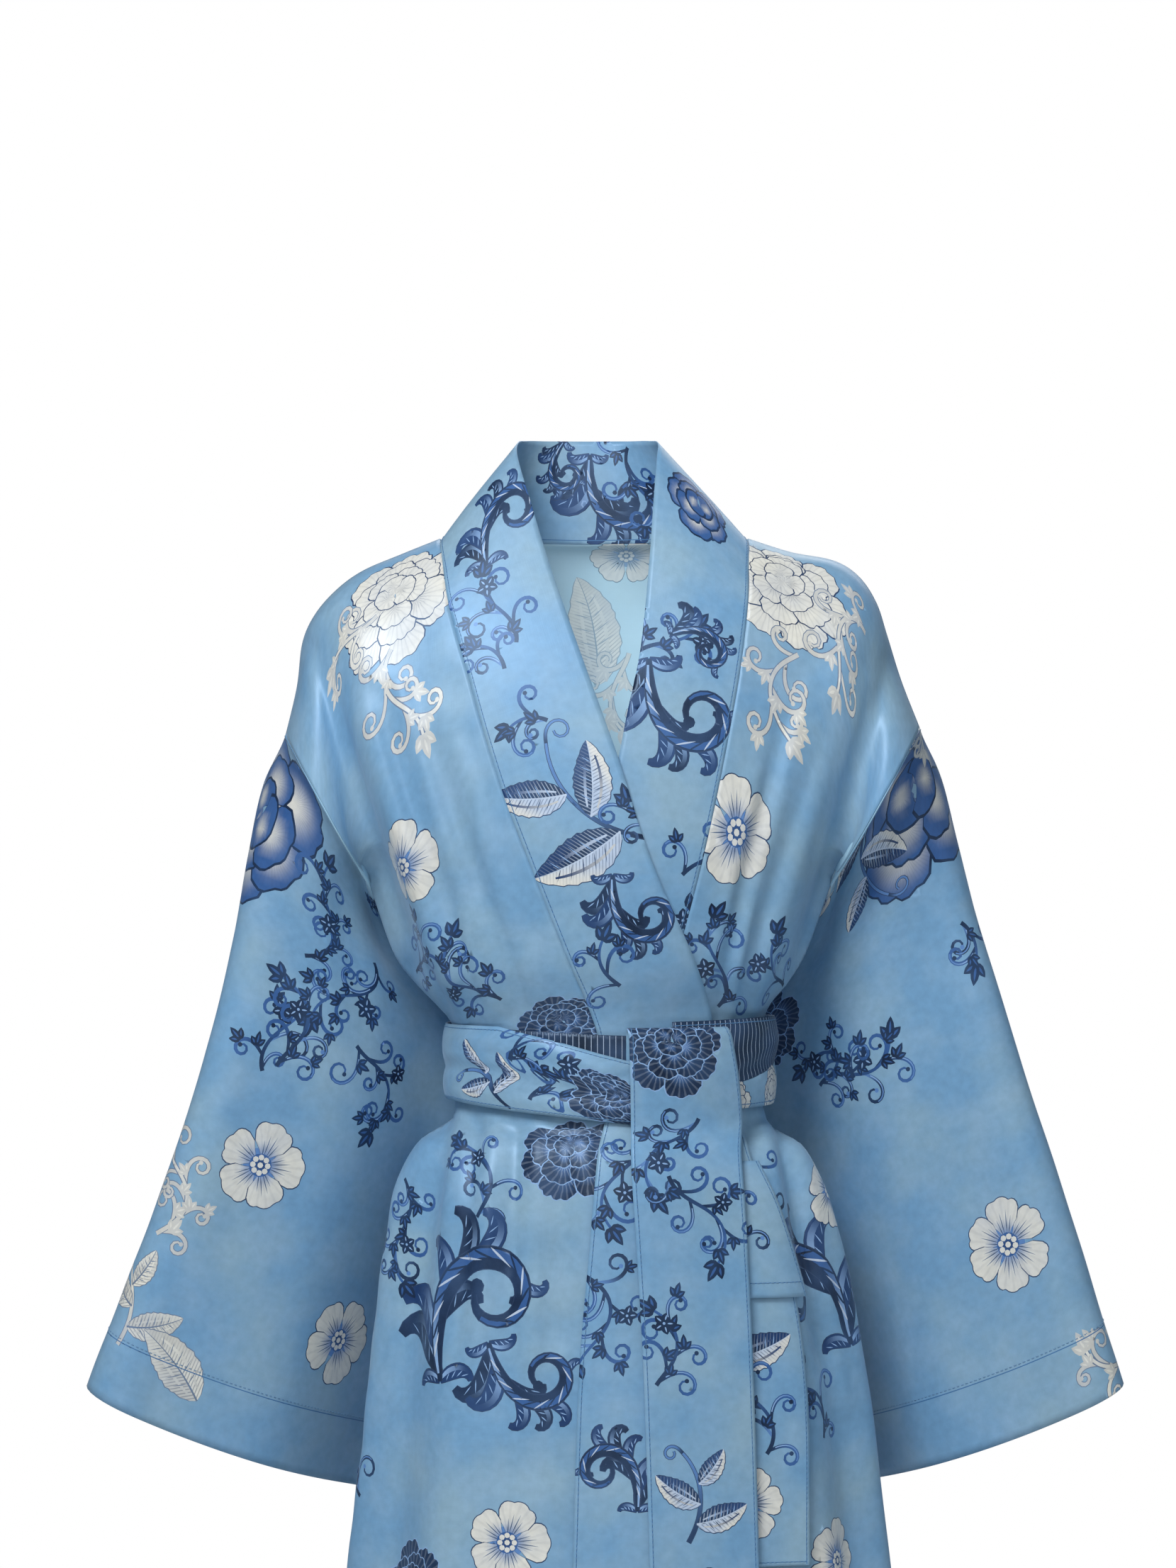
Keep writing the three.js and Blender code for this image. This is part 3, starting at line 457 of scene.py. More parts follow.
# A curve that leaves a point at a heading and winds tighter along its length.
def curl(x, y, heading, length, turn, power=1.7, count=22):
    s = np.linspace(0, 1, count)
    angle = np.radians(heading + turn * s ** power)
    path = np.cumsum(np.stack([np.cos(angle), np.sin(angle)], -1) * length / (count - 1), axis=0)
    return np.concatenate([[[x, y]], path[:-1] + (x, y)])


def headingAt(path, i):
    ahead = path[min(i + 1, len(path) - 1)] - path[max(i - 1, 0)]
    return math.degrees(math.atan2(ahead[1], ahead[0]))


def sideways(path):
    return unit(np.gradient(path, axis=0))[:, ::-1] * (-1, 1)  # to the left of the way along


# A line of ink along a path. shift moves it to the left of the way along.
def stroke(path, wide, near, far=None, shift=0.0):
    wide = np.broadcast_to(wide, len(path))[:, None] / 2
    side = sideways(path)
    a, b = path + side * (shift + wide), path + side * (shift - wide)
    quads = []
    for i, ahead in enumerate(np.diff(path, axis=0)):
        quad = [a[i], a[i + 1], b[i + 1], b[i]]
        if (a[i + 1] - a[i]) @ ahead < 1e-3:  # a bend tighter than the stroke is wide
            quad = [(a[i] + a[i + 1]) / 2, b[i + 1], b[i]]
        elif (b[i + 1] - b[i]) @ ahead < 1e-3:
            quad = [a[i], a[i + 1], (b[i] + b[i + 1]) / 2]
        quads.append(np.array(quad))
    return shape(quads, near, far, start=path[0], end=path[-1])


def disc(x, y, radius, count=9):
    turn = np.linspace(0, 2 * math.pi, count, endpoint=False)
    return np.stack([x + radius * np.cos(turn), y + radius * np.sin(turn)], -1)


def polar(radius, angle):
    return np.stack([radius * np.cos(angle), radius * np.sin(angle)], -1)


# A pointed stroke between two points, fullest a little before the middle.
def blade(a, b, wide, near, far=None):
    way = b - a
    side = unit(way) @ np.array([[0, 1], [-1, 0]]) * wide / 2
    if wide < 1.2:
        steps = ((0.35, 1), (0.7, 0.7))
    else:
        steps = ((0.14, 0.72), (0.4, 1), (0.7, 0.74), (0.9, 0.3))
    edge = [a] + [a + way * t + side * w for t, w in steps] + [b] + [a + way * t - side * w for t, w in steps[::-1]]
    return shape([np.array(edge)], near, far, start=a, end=b)


# A petal round the origin with a full, scalloped rim.
def petal(outer, middle, half, waves, depth, grow=0.0, seed=0.0, inner=0.12):
    t = np.linspace(-1, 1, 17 if waves > 2 else 13)
    rim = outer * (0.6 + 0.4 * (1 - np.abs(t) ** 3) ** 0.55)
    rim *= 1 - depth * (1 - np.abs(np.sin(waves * math.pi * (t + 1) / 2 + seed)) ** 0.7)
    edge = polar(rim + grow, middle + half * t)
    a, b = half * 0.82, half * 0.4
    low = polar(np.array([outer * 0.36, outer * inner]) + grow * 0.3, middle + np.array([-a, -b]))
    high = polar(np.array([outer * 0.36, outer * inner]) + grow * 0.3, middle + np.array([a, b]))
    return np.concatenate([low[::-1], edge, high])


# An open flower with a ring of beads at its heart: size is its radius.
def blossom(rng, size):
    shapes, count = [], int(rng.integers(5, 7))
    for i in range(count):
        middle = 2 * math.pi * (i + rng.uniform(-0.1, 0.1)) / count
        outer, half, seed = size * rng.uniform(0.92, 1.04), math.pi / count * 1.1, rng.uniform(-0.25, 0.25)
        tip = polar(outer, middle)
        shapes.append(shape([petal(outer, middle, half, 3, 0.07, 0.75, seed)], "line"))
        shapes.append(shape([petal(outer, middle, half * 0.96, 3, 0.07, 0, seed)], "mid", "ivory", start=tip * 0.12,
                            end=tip * 0.62, radial=True, lines=2.4, dark=0.35))
        for apart, share in ((-0.3, 0.62), (-0.12, 0.74), (0.1, 0.7), (0.28, 0.58)):
            end = polar(outer * share, middle + apart)
            shapes.append(blade(end * 0.3, end, 0.9, "line", "grey"))
    shapes.insert(0, shape([disc(0, 0, size * 0.4, 12)], "mid"))
    shapes.append(shape([disc(0, 0, size * 0.26, 12)], "deep", "blue", end=(size * 0.26, 0), radial=True))
    for i in range(9):
        x, y = polar(size * 0.17 if i < 8 else 0, 2 * math.pi * i / 8)
        shapes.append(shape([disc(x, y, size * 0.066, 7)], "ivory"))
    return shapes


# A full flower seen a little from below: overlapping rings of broad scalloped petals, each veined like a fan
# and shaded from base to rim between first and last, which are shares of its length. grow is its outline in mm.
def peony(rng, size, base, rim, outline, lines, first=0.4, last=0.8, grow=0.8, large=False):
    squash, shapes = np.array([1, 0.84]), []
    rings = ((1.0, 7, 0), (0.78, 6, 0.07), (0.54, 5, 0.14), (0.32, 3, 0.2))  # reach, petals, rise
    if large:  # fewer, larger petals
        rings = [(reach * 1.3, count - 1, rise) for reach, count, rise in rings[1:]]
    for reach, count, rise in rings:
        turn, lift = rng.uniform(0, 1), np.array([0, rise * size])
        for i in range(count):
            middle = 2 * math.pi * (i + turn + rng.uniform(-0.1, 0.1)) / count
            outer, half = size * reach * rng.uniform(0.9, 1.06), math.pi / count * 1.22
            waves, seed, tip = int(rng.integers(4, 6)), rng.uniform(0, 3), polar(outer, middle) * squash
            edges = (petal(outer, middle, half, waves, 0.07, grow, seed) * squash + lift,
                     petal(outer, middle, half * 0.95, waves, 0.07, 0, seed) * squash + lift)
            shapes += [shape(edges[:1], outline),
                       shape(edges[1:], base, rim, start=tip * first + lift, end=tip * last + lift,
                             radial=True, lines=2.0, dark=lines)]
    return shapes


# A pointed, saw-edged leaf that starts at the origin along +Y: one half dark, one half pale.
def leaf(length, wide, bend=25, teeth=8, colours=("navy", "deep", "pale", "ivory"), outline="line"):
    count = 25
    t = np.linspace(0, 1, count)
    spine = curl(0, 0, 90 - bend / 2, length, bend, 1.0, count)
    full = wide / 2 * np.sin(math.pi * t ** 0.82) ** 0.8
    saw = 1 + 0.14 * (1 - (t * teeth) % 1) * (t < 0.96)
    side = sideways(spine)
    halves = []
    for hand, grow in ((1, 0.8), (-1, 0.8), (1, 0), (-1, 0)):
        edge = spine + side * (hand * (full * saw + grow * (t > 0) * (t < 1)))[:, None]
        halves.append(np.concatenate([spine, edge[:0:-1]]))
    middle = spine[count // 2]
    shapes = [shape(halves[:2], outline)]
    for k, hand in ((0, 1), (1, -1)):
        end = middle + side[count // 2] * hand * wide / 2 + (spine[-1] - spine[0]) * 0.12
        shapes.append(shape([halves[2 + k]], colours[2 * k], colours[2 * k + 1], start=middle, end=end,
                            lines=2.6, dark=-0.55 if k == 0 and colours[0] == "navy" else 0.5))
    inner = slice(3, count - 4)
    for hand, share, ink in ((1, 0.45, "pale"), (-1, 0.5, "cream")):  # a lighter streak down each half
        shapes.append(stroke((spine[inner] + side[inner] * (hand * full * share)[inner, None])[::2],
                             full[inner][::2] * 0.16, ink if colours[0] == "navy" else "cream", colours[1]))
    shapes.append(stroke(spine[::2], mix(1.6, 0.4, t[::2]), "pale" if colours[0] == "navy" else outline))
    plain = "line" if outline == "line" else "grey"
    for k in range(5, count - 5, 3):  # side veins
        for hand in (1, -1):
            tip = spine[k + 2] + side[k + 2] * hand * full[k + 2] * 0.86
            shapes.append(blade(spine[k], tip, 0.8, "sky" if hand > 0 and colours[0] == "navy" else plain))
    return shapes


# A plume that springs from a stem and curls back at its tip, with a lit side and engraved lines.
def plume(x, y, heading, long, turn, wide, dark):
    path = curl(x, y, heading, long, turn, 2.2, 13)
    body = wide * (0.16 + 0.84 * np.sin(math.pi * np.linspace(0.04, 0.94, 13) ** 0.9))
    side = sideways(path) * (1 if turn > 0 else -1)
    lit = path[1:11] - side[1:11] * (body[1:11] * 0.2)[:, None]
    shapes = [stroke(path, body + 1.3, "line"), stroke(path, body, dark),
              stroke(lit, body[1:11] * 0.34, "sky", dark)]
    for k in (2, 4, 6, 8):
        a, b = path[k] + side[k] * body[k] * 0.4, path[k + 2] - side[k + 2] * body[k + 2] * 0.05
        shapes.append(blade(a, b, 0.9, "sky"))
    return shapes


# An acanthus scroll: a swelling spine that winds into a spiral, with full plumes along its outer side.
def acanthus(rng, size, hand):
    count, plumes = 38, 8
    s = np.linspace(0, 1, count)
    spine = curl(0, 0, 90, size * 2.9, 410 * hand, 2.0, count)
    wide = size * (0.05 + 0.17 * np.sin(math.pi * s ** 0.85) ** 1.2)
    shapes = []
    for k in range(plumes):
        i = int(1 + k * 27 / plumes)
        long = size * (0.98 - 0.085 * k) * rng.uniform(0.85, 1.15)
        side = -hand if k % 4 != 2 else hand
        shapes += plume(*spine[i], headingAt(spine, i) + side * rng.uniform(10, 26), long,
                        side * rng.uniform(120, 210), long * 0.3, ("navy", "deep")[k % 2])
    for apart in (-62, 58):
        long = size * rng.uniform(0.36, 0.5)
        shapes += plume(0, 0, 90 + apart, long, apart * 2.2, long * 0.34, "deep")
    side = sideways(spine) * -hand  # towards the outside of the spiral
    shapes += [stroke(spine, wide + 1.5, "line"), stroke(spine, wide, "navy")]
    lit = (spine + side * (wide * 0.2)[:, None])[1:-4]
    shapes.append(stroke(lit, wide[1:-4] * 0.4, "sky", "blue"))
    for k in range(3, count - 7, 2):  # engraved hatching
        a, b = spine[k] + side[k] * wide[k] * 0.46, spine[k + 3] - side[k + 3] * wide[k + 3] * 0.1
        shapes.append(blade(a, b, size * 0.024, "navy" if k % 4 == 1 else "pale"))
    shapes.append(shape([disc(*spine[-1], size * 0.08, 9)], "navy"))
    return shapes


# A small lobed leaf of the vine.
def sprig(x, y, heading, size, dark, light):
    base = np.array([x, y])
    shapes = []
    for apart, share in ((-44, 0.82), (44, 0.82), (0, 1.1)):
        way = polar(1, math.radians(heading + apart))
        shapes.append(blade(base, base + way * size * share, size * 0.5, dark))
        shapes.append(blade(base + way * size * 0.2, base + way * size * share * 0.8, size * 0.13, light))
    return shapes


def bud(size=7.5, dark="navy", light="sky"):
    shapes = []
    for i in range(5):
        middle = 2 * math.pi * i / 5
        shapes.append(blade(polar(size * 0.1, middle), polar(size, middle), size * 0.8, dark))
        shapes.append(blade(polar(size * 0.3, middle), polar(size * 0.8, middle), size * 0.14, light))
    return shapes + [shape([disc(0, 0, size * 0.13, 6)], "sky")]


# Vine in alternating coils, with lobed leaves and small dark flowers: size is about its height.
def vine(rng, size, dark="navy", light="blue", flowers=True, thick=3.1, outline=None):
    count, turns = 26, 19
    curls = max(3, int(size / 11.5))
    angle = np.radians(90 + 50 * np.sin(np.linspace(0, size / 20, count) + rng.uniform(0, 6)))
    stem = np.cumsum(polar(size / count * 1.12, angle), axis=0)
    shapes, tops = [], []
    for k in range(curls):
        i, hand = int(1 + k * (count - 3) / curls), (1 if k % 2 else -1)
        path = curl(*stem[i], headingAt(stem, i) + hand * rng.uniform(15, 45), 60 * rng.uniform(0.75, 1.2),
                    hand * rng.uniform(400, 520), 2.0, turns)
        ink, other = (dark, light) if rng.uniform() < 0.85 else ("mid" if dark == "navy" else light, dark)
        body = thick * (0.5 + 0.55 * np.sin(math.pi * np.linspace(0.15, 1, turns)))
        if outline:
            shapes.append(stroke(path, body + 1.3, outline))
        shapes.append(stroke(path, body, ink, ink if outline else other))
        tops.append(shape([disc(*path[-1], thick * 0.62, 7)], ink))
        if not outline and k % 2 == 0:
            tops.append(stroke(path[2:12], body[2:12] * 0.32, "sky", "mid", shift=0.3))
        for j, chance in ((3, 0.65), (8, 0.3)):
            if rng.uniform() < chance:
                tops += sprig(*path[j], headingAt(path, j) - hand * rng.uniform(50, 80), rng.uniform(9, 12.5),
                              dark, light)
        if flowers and k % 5 == 3:
            tops += placed(bud(rng.uniform(8, 10.5), dark), *path[5], turn=rng.uniform(0, 72))
    if outline:
        shapes.append(stroke(stem, thick + 1.3, outline))
    shapes.append(stroke(stem, np.linspace(thick * 1.15, thick * 0.7, count), dark, light))
    shapes += sprig(*stem[-1], math.degrees(angle[-1]), 16, dark, light)
    return shapes + tops


# A stem with a few large leaves and a curling end: size is about its height.
def spray(rng, size=110, leaves=3, colours=("navy", "deep", "pale", "ivory"), outline="line", hand=1):
    stem = curl(0, 0, 90 - 30 * hand, size * 0.95, 75 * hand, 1.2, 20)
    ink = "cream" if outline == "grey" else "navy"
    tip = curl(*stem[-1], headingAt(stem, 19), size * 0.42, 380 * hand, 1.6, 16)
    shapes = []
    for path, body in ((stem, np.linspace(3.4, 2.0, 20)), (tip, np.linspace(2.0, 1.2, 16))):
        shapes += [stroke(path, body + 1.1, outline), stroke(path, body, ink, "mid" if ink == "navy" else "ivory")]
    for k in range(leaves):
        i, side = int(4 + k * 13 / leaves), (1 if k % 2 else -1)
        long = size * rng.uniform(0.52, 0.64) * (1 - 0.1 * k)
        heading = headingAt(stem, i) + side * rng.uniform(42, 62)
        shapes += placed(leaf(long, long * 0.42, 26, 8, colours, outline), *stem[i], turn=heading - 90, flip=side > 0)
    return shapes


silver = ("cream", "ivory", "ivory", "cream")  # leaves in ivory with fine outlines
makers = {
    "blossom": lambda rng, size, hand: blossom(rng, size),
    "peony": lambda rng, size, hand: peony(rng, size, "mid", "navy", "sky", -0.55, 0.45, 0.8),
    "bluePeony": lambda rng, size, hand: peony(rng, size, "ivory", "blue", "navy", 0.25, 0.5, 0.96, 2.0, True),
    "ivoryPeony": lambda rng, size, hand: peony(rng, size, "cream", "ivory", "line", 0.45),
    "acanthus": lambda rng, size, hand: acanthus(rng, size, hand),
    "vine": lambda rng, size, hand: vine(rng, size),
    "ivoryVine": lambda rng, size, hand: vine(rng, size, "cream", "ivory", False, 3.0, "grey"),
    "spray": lambda rng, size, hand: spray(rng, size, hand=hand),
    "ivorySpray": lambda rng, size, hand: spray(rng, size, 3, silver, "grey", hand),
    "leaf": lambda rng, size, hand: leaf(size, size * 0.42, 25 * hand),
    "ivoryLeaf": lambda rng, size, hand: leaf(size, size * 0.42, 25 * hand, 9, silver, "grey"),
}


# One motif with its middle at the origin.
def motif(kind, size, hand, seed):
    shapes = makers[kind](np.random.default_rng(seed), size, hand)
    points = np.concatenate([p for item in shapes for p in item["polygons"]])
    return placed(shapes, *(-(points.min(0) + points.max(0)) / 2))


# A sheet of cloth from a grid of points: rows evenly spaced down, columns evenly spaced along each row.
# left says where each row starts on the flat cloth.
def sheetOf(grid, left=None, spacing=2.0, inside=None):
    def spread(points, at):
        low = np.clip(at.astype(int), 0, len(points) - 2)
        t = (at - low).reshape((-1,) + (1,) * (points.ndim - 1))
        return mix(points[low], points[low + 1], t)

    middle = grid[:, grid.shape[1] // 2]
    down = np.concatenate([[0], np.cumsum(np.linalg.norm(np.diff(grid, axis=0), axis=-1).mean(1))])
    count = max(8, int(down[-1] / spacing))
    grid = spread(grid, np.interp(np.linspace(0, down[-1], count), down, np.arange(len(down))))
    along = np.linalg.norm(np.diff(grid, axis=1), axis=-1)
    along = np.concatenate([np.zeros((len(grid), 1)), np.cumsum(along, axis=1)], axis=1)
    columns = max(8, int(along[:, -1].max() / spacing))
    rows = [spread(grid[j], np.interp(np.linspace(0, along[j, -1], columns), along[j], np.arange(grid.shape[1])))
            for j in range(len(grid))]
    grid, wide = np.array(rows), along[:, -1]
    start = {"centre": -wide / 2, "first": grid[:, 0, 0], "last": grid[:, -1, 0] - wide}.get(left, 0 * wide)
    sheet = {"grid": grid, "wide": wide, "left": start, "down": np.linspace(0, down[-1], count)}
    if inside is not None:
        sheet["inside"] = inside(grid)
    sheet["facing"] = facingOf(grid, sheet["inside"][:, None] if inside else (0, 40, 0))
    return sheet


def sampled(values, r, c):
    i = np.clip(np.floor(r).astype(int), 0, values.shape[0] - 2)
    j = np.clip(np.floor(c).astype(int), 0, values.shape[1] - 2)
    s, t = (r - i)[..., None], (c - j)[..., None]
    return mix(mix(values[i, j], values[i + 1, j], s), mix(values[i, j + 1], values[i + 1, j + 1], s), t)


def flatOf(sheet, r, c):
    index = np.arange(len(sheet["down"]))
    share = c / (sheet["grid"].shape[1] - 1)
    return np.stack([np.interp(r, index, sheet["left"]) + share * np.interp(r, index, sheet["wide"]),
                     -np.interp(r, index, sheet["down"])], -1)


def indexOf(sheet, flat):
    index = np.arange(len(sheet["down"]))
    r = np.interp(-flat[..., 1], sheet["down"], index)
    share = (flat[..., 0] - np.interp(r, index, sheet["left"])) / np.interp(r, index, sheet["wide"])
    return r, clamp(share) * (sheet["grid"].shape[1] - 1)


# The place on the flat cloth of a point seen from the front. near picks the part of the sheet to look on.
def spotOn(sheet, x, z, near=None):
    grid = sheet["grid"]
    miss = (grid[..., 0] - x) ** 2 + (grid[..., 2] - z) ** 2
    if near is not None:
        miss = np.where(near, miss, 1e9)
    r, c = np.unravel_index(np.argmin(miss), miss.shape)
    return flatOf(sheet, float(r), float(c))


# Drops what other ink hides: only the lines between two inks, the rim and the sheet's own points stay.
def visibleOnly(points, triangles, top, own):
    owner = {}
    for (a, b, c), ink in zip(triangles.tolist(), top.tolist()):
        owner[a, b] = owner[b, c] = owner[c, a] = ink
    sides = {}
    for (a, b), ink in owner.items():
        other = owner.get((b, a), -1)
        if other != ink:
            sides[a, b], sides[b, a] = ink, other
    lines = [(a, b) for a, b in sides if a < b]
    used = np.unique(np.concatenate([np.array(lines).ravel(), own]))
    number = dict(zip(used.tolist(), range(len(used))))
    found, _, faces, sources, _, _ = delaunay_2d_cdt(
        [Vector(p) for p in points[used].tolist()], [(number[a], number[b]) for a, b in lines], [], 0, 1e-6, True)
    back = [int(used[ids[0]]) if ids else -1 - i for i, ids in enumerate(sources)]
    across, inkOf = {}, [None] * len(faces)
    for i, face in enumerate(faces):
        for pair in zip(face, face[1:] + face[:1]):
            pair = (back[pair[0]], back[pair[1]])
            across[pair] = i
            if pair in sides:
                inkOf[i] = sides[pair]
    queue = [i for i, ink in enumerate(inkOf) if ink is not None]
    while queue:
        i = queue.pop()
        for pair in zip(faces[i], faces[i][1:] + faces[i][:1]):
            pair = (back[pair[1]], back[pair[0]])
            if pair not in sides and inkOf[across.get(pair, i)] is None:
                inkOf[across[pair]] = inkOf[i]
                queue.append(across[pair])
    keep = [i for i, ink in enumerate(inkOf) if ink is not None and ink >= 0]
    flat = np.array([(p.x, p.y) for p in found])
    return flat, np.array([faces[i] for i in keep]), np.array([inkOf[i] for i in keep])


# The printed, cut piece: the flat outline and every shape of the print go into one triangulation,
# so each shape keeps a clean edge, and the result is laid on the sheet's surface.
def printedMesh(name, sheet, shapes, step):
    grid = sheet["grid"]
    rows = np.linspace(0, grid.shape[0] - 1, max(4, int(sheet["down"][-1] / step)))
    columns = np.linspace(0, grid.shape[1] - 1, max(4, int(sheet["wide"].max() / step)))
    r, c = np.meshgrid(rows, columns, indexing="ij")
    flat = flatOf(sheet, r, c)
    at = np.arange(flat[..., 0].size).reshape(r.shape)
    rim = np.concatenate([at[::-1, 0], at[0, 1:], at[1:, -1], at[-1, -2:0:-1]])[::-1]
    points = flat.reshape(-1, 2)
    box = (points.min(0) - 1, points.max(0) + 1)
    faces, owners, loose, total = [rim.tolist()], [0], [points], len(points)
    used = []
    for item in shapes:
        kept = [p for p in item["polygons"] if (p.max(0) > box[0]).all() and (p.min(0) < box[1]).all()]
        if not kept:
            continue
        used.append(item)
        for p in kept:
            area = flatArea(p)
            if abs(area) < 0.02:
                continue
            ids = list(range(total, total + len(p)))
            faces.append(ids if area > 0 else ids[::-1])
            owners.append(len(used))
            loose.append(p)
            total += len(p)
    points = np.concatenate(loose)
    if flatArea(flat.reshape(-1, 2)[rim]) < 0:
        faces[0] = faces[0][::-1]
    points = [Vector(p) for p in points.tolist()]
    found, _, triangles, origins, _, sources = delaunay_2d_cdt(points, [], faces, 0, 1e-4, True)
    points = np.array([(p.x, p.y) for p in found])
    own = np.array([i for i, ids in enumerate(origins) if any(k < flat[..., 0].size for k in ids)])
    owners = np.array(owners)
    keep = [i for i, ids in enumerate(sources) if 0 in ids]
    triangles = np.array([triangles[i] for i in keep])
    # Now and then the triangulation gives a small polygon's outside as its inside, so that one is turned round.
    uses = np.bincount(np.concatenate([sources[i] for i in keep]), minlength=len(faces))
    large = 0.1 * abs(flatArea(flat.reshape(-1, 2)[rim]))
    inverted = {k for k in range(1, len(faces)) if uses[k] > len(keep) / 2 and abs(flatArea(loose[k])) < large}
    top = np.array([owners[max(inverted.symmetric_difference(sources[i]))] for i in keep])
    points, triangles, top = visibleOnly(points, triangles, top, own)
    r, c = indexOf(sheet, points)
    solid = sampled(grid, r, c) / 1000
    order, triangles = np.unique(triangles, return_inverse=True)
    triangles = triangles.reshape(-1, 3)
    solid, points = solid[order], points[order]
    # The outer side faces away from the sheet's own inside.
    a, b, d = (solid[triangles[:, k]] for k in range(3))
    normal = np.cross(b - a, d - a)
    outside = (a + b + d) / 3 - insideOf(sheet, points[triangles].mean(1)) / 1000
    if (normal * outside).sum() < 0:
        triangles = triangles[:, ::-1].copy()
    mesh = bpy.data.meshes.new(name)
    mesh.from_pydata(solid.tolist(), [], triangles.tolist())
    corners = points[triangles].reshape(-1, 2)
    mesh.uv_layers.new(name="cut").data.foreach_set("uv", (corners / 1000).astype(np.float32).ravel())
    paint(mesh, used, corners, np.repeat(top, 3))
    mesh.shade_smooth()
    piece = bpy.data.objects.new(name, mesh)
    bpy.context.scene.collection.objects.link(piece)
    report(f"{name}: {len(triangles)} triangles, {len(used)} shapes of print")
    return piece


def flatArea(p):
    return 0.5 * (p[:, 0] @ np.roll(p[:, 1], -1) - p[:, 1] @ np.roll(p[:, 0], -1))


def insideOf(sheet, flat):
    if "inside" in sheet:
        r, c = indexOf(sheet, flat)
        return sampled(np.repeat(sheet["inside"][:, None], 2, 1), r, 0 * c)
    return np.array([0, 40, 0]) + np.zeros((len(flat), 3))


# Writes the ink's colour, and the phase and strength of its engraved lines, at each corner.
def paint(mesh, shapes, corners, top):
    blank = shape([], "sky")
    items = [blank] + shapes
    near = np.array([toLinear(inks[s["near"]]) for s in items])[top]
    far = np.array([toLinear(inks[s["far"]]) for s in items])[top]
    start, end = (np.array([s[k] for s in items])[top] for k in ("start", "end"))
    radial, lines, dark = (np.array([s[k] for s in items], float)[top] for k in ("radial", "lines", "dark"))
    way, off = end - start, corners - start
    length = np.maximum(np.linalg.norm(way, axis=1), 1e-6)
    ahead = (off * way).sum(1) / length
    aside = (off[:, 1] * way[:, 0] - off[:, 0] * way[:, 1]) / length
    reach = np.hypot(ahead, aside)
    t = ease(np.where(radial > 0, reach, ahead) / length)
    phase = np.where(radial > 0, np.arctan2(aside, ahead) * length * 0.5, aside) / np.maximum(lines, 1e-6)
    phase = np.where(lines > 0, phase, 0)
    ink = np.concatenate([mix(near, far, t[:, None]), (top > 0)[:, None]], 1)
    layer = mesh.attributes.new("ink", "FLOAT_COLOR", "CORNER")
    layer.data.foreach_set("color", ink.astype(np.float32).ravel())
    fine = np.stack([phase, np.where(lines > 0, dark * (1 - 0.75 * t), 0), 0 * t], 1)
    layer = mesh.attributes.new("engraving", "FLOAT_VECTOR", "CORNER")
    layer.data.foreach_set("vector", fine.astype(np.float32).ravel())


# Adds a node. inputs takes values, or sockets to link from.
def addNode(tree, kind, inputs=None, **settings):
    node = tree.nodes.new(kind)
    for key, value in settings.items():
        setattr(node, key, value)
    for key, value in (inputs or {}).items():
        if isinstance(value, bpy.types.NodeSocket):
            tree.links.new(value, node.inputs[key])
        else:
            node.inputs[key].default_value = value
    return node


satin = {
    "ground": "#729dc0", "patch": "#8fadbe", "cloud": "#90b0ca",  # sky blue, grey-teal patches, paler clouds
    # The reverse is paler than the face, since the print shows through faintly, and is made paler still as painted
    # light standing for light shining through the thin silk.
    "reverse": "#c6ecfa", "reversePaleAndLitShare": 0.72, "reversePaleAndLitInk": 0.32,
    "patchSize": 95, "cloudSize": 38, "grainSize": 7,  # mm
    "threadWide": 1.1, "threadLong": 16,  # mm; real satin threads are about 0.1 mm, drawn coarser to show
    "roughness": 0.41, "specular": 0.7, "glint": "#bcd8f8", "sheen": 0.2,
}


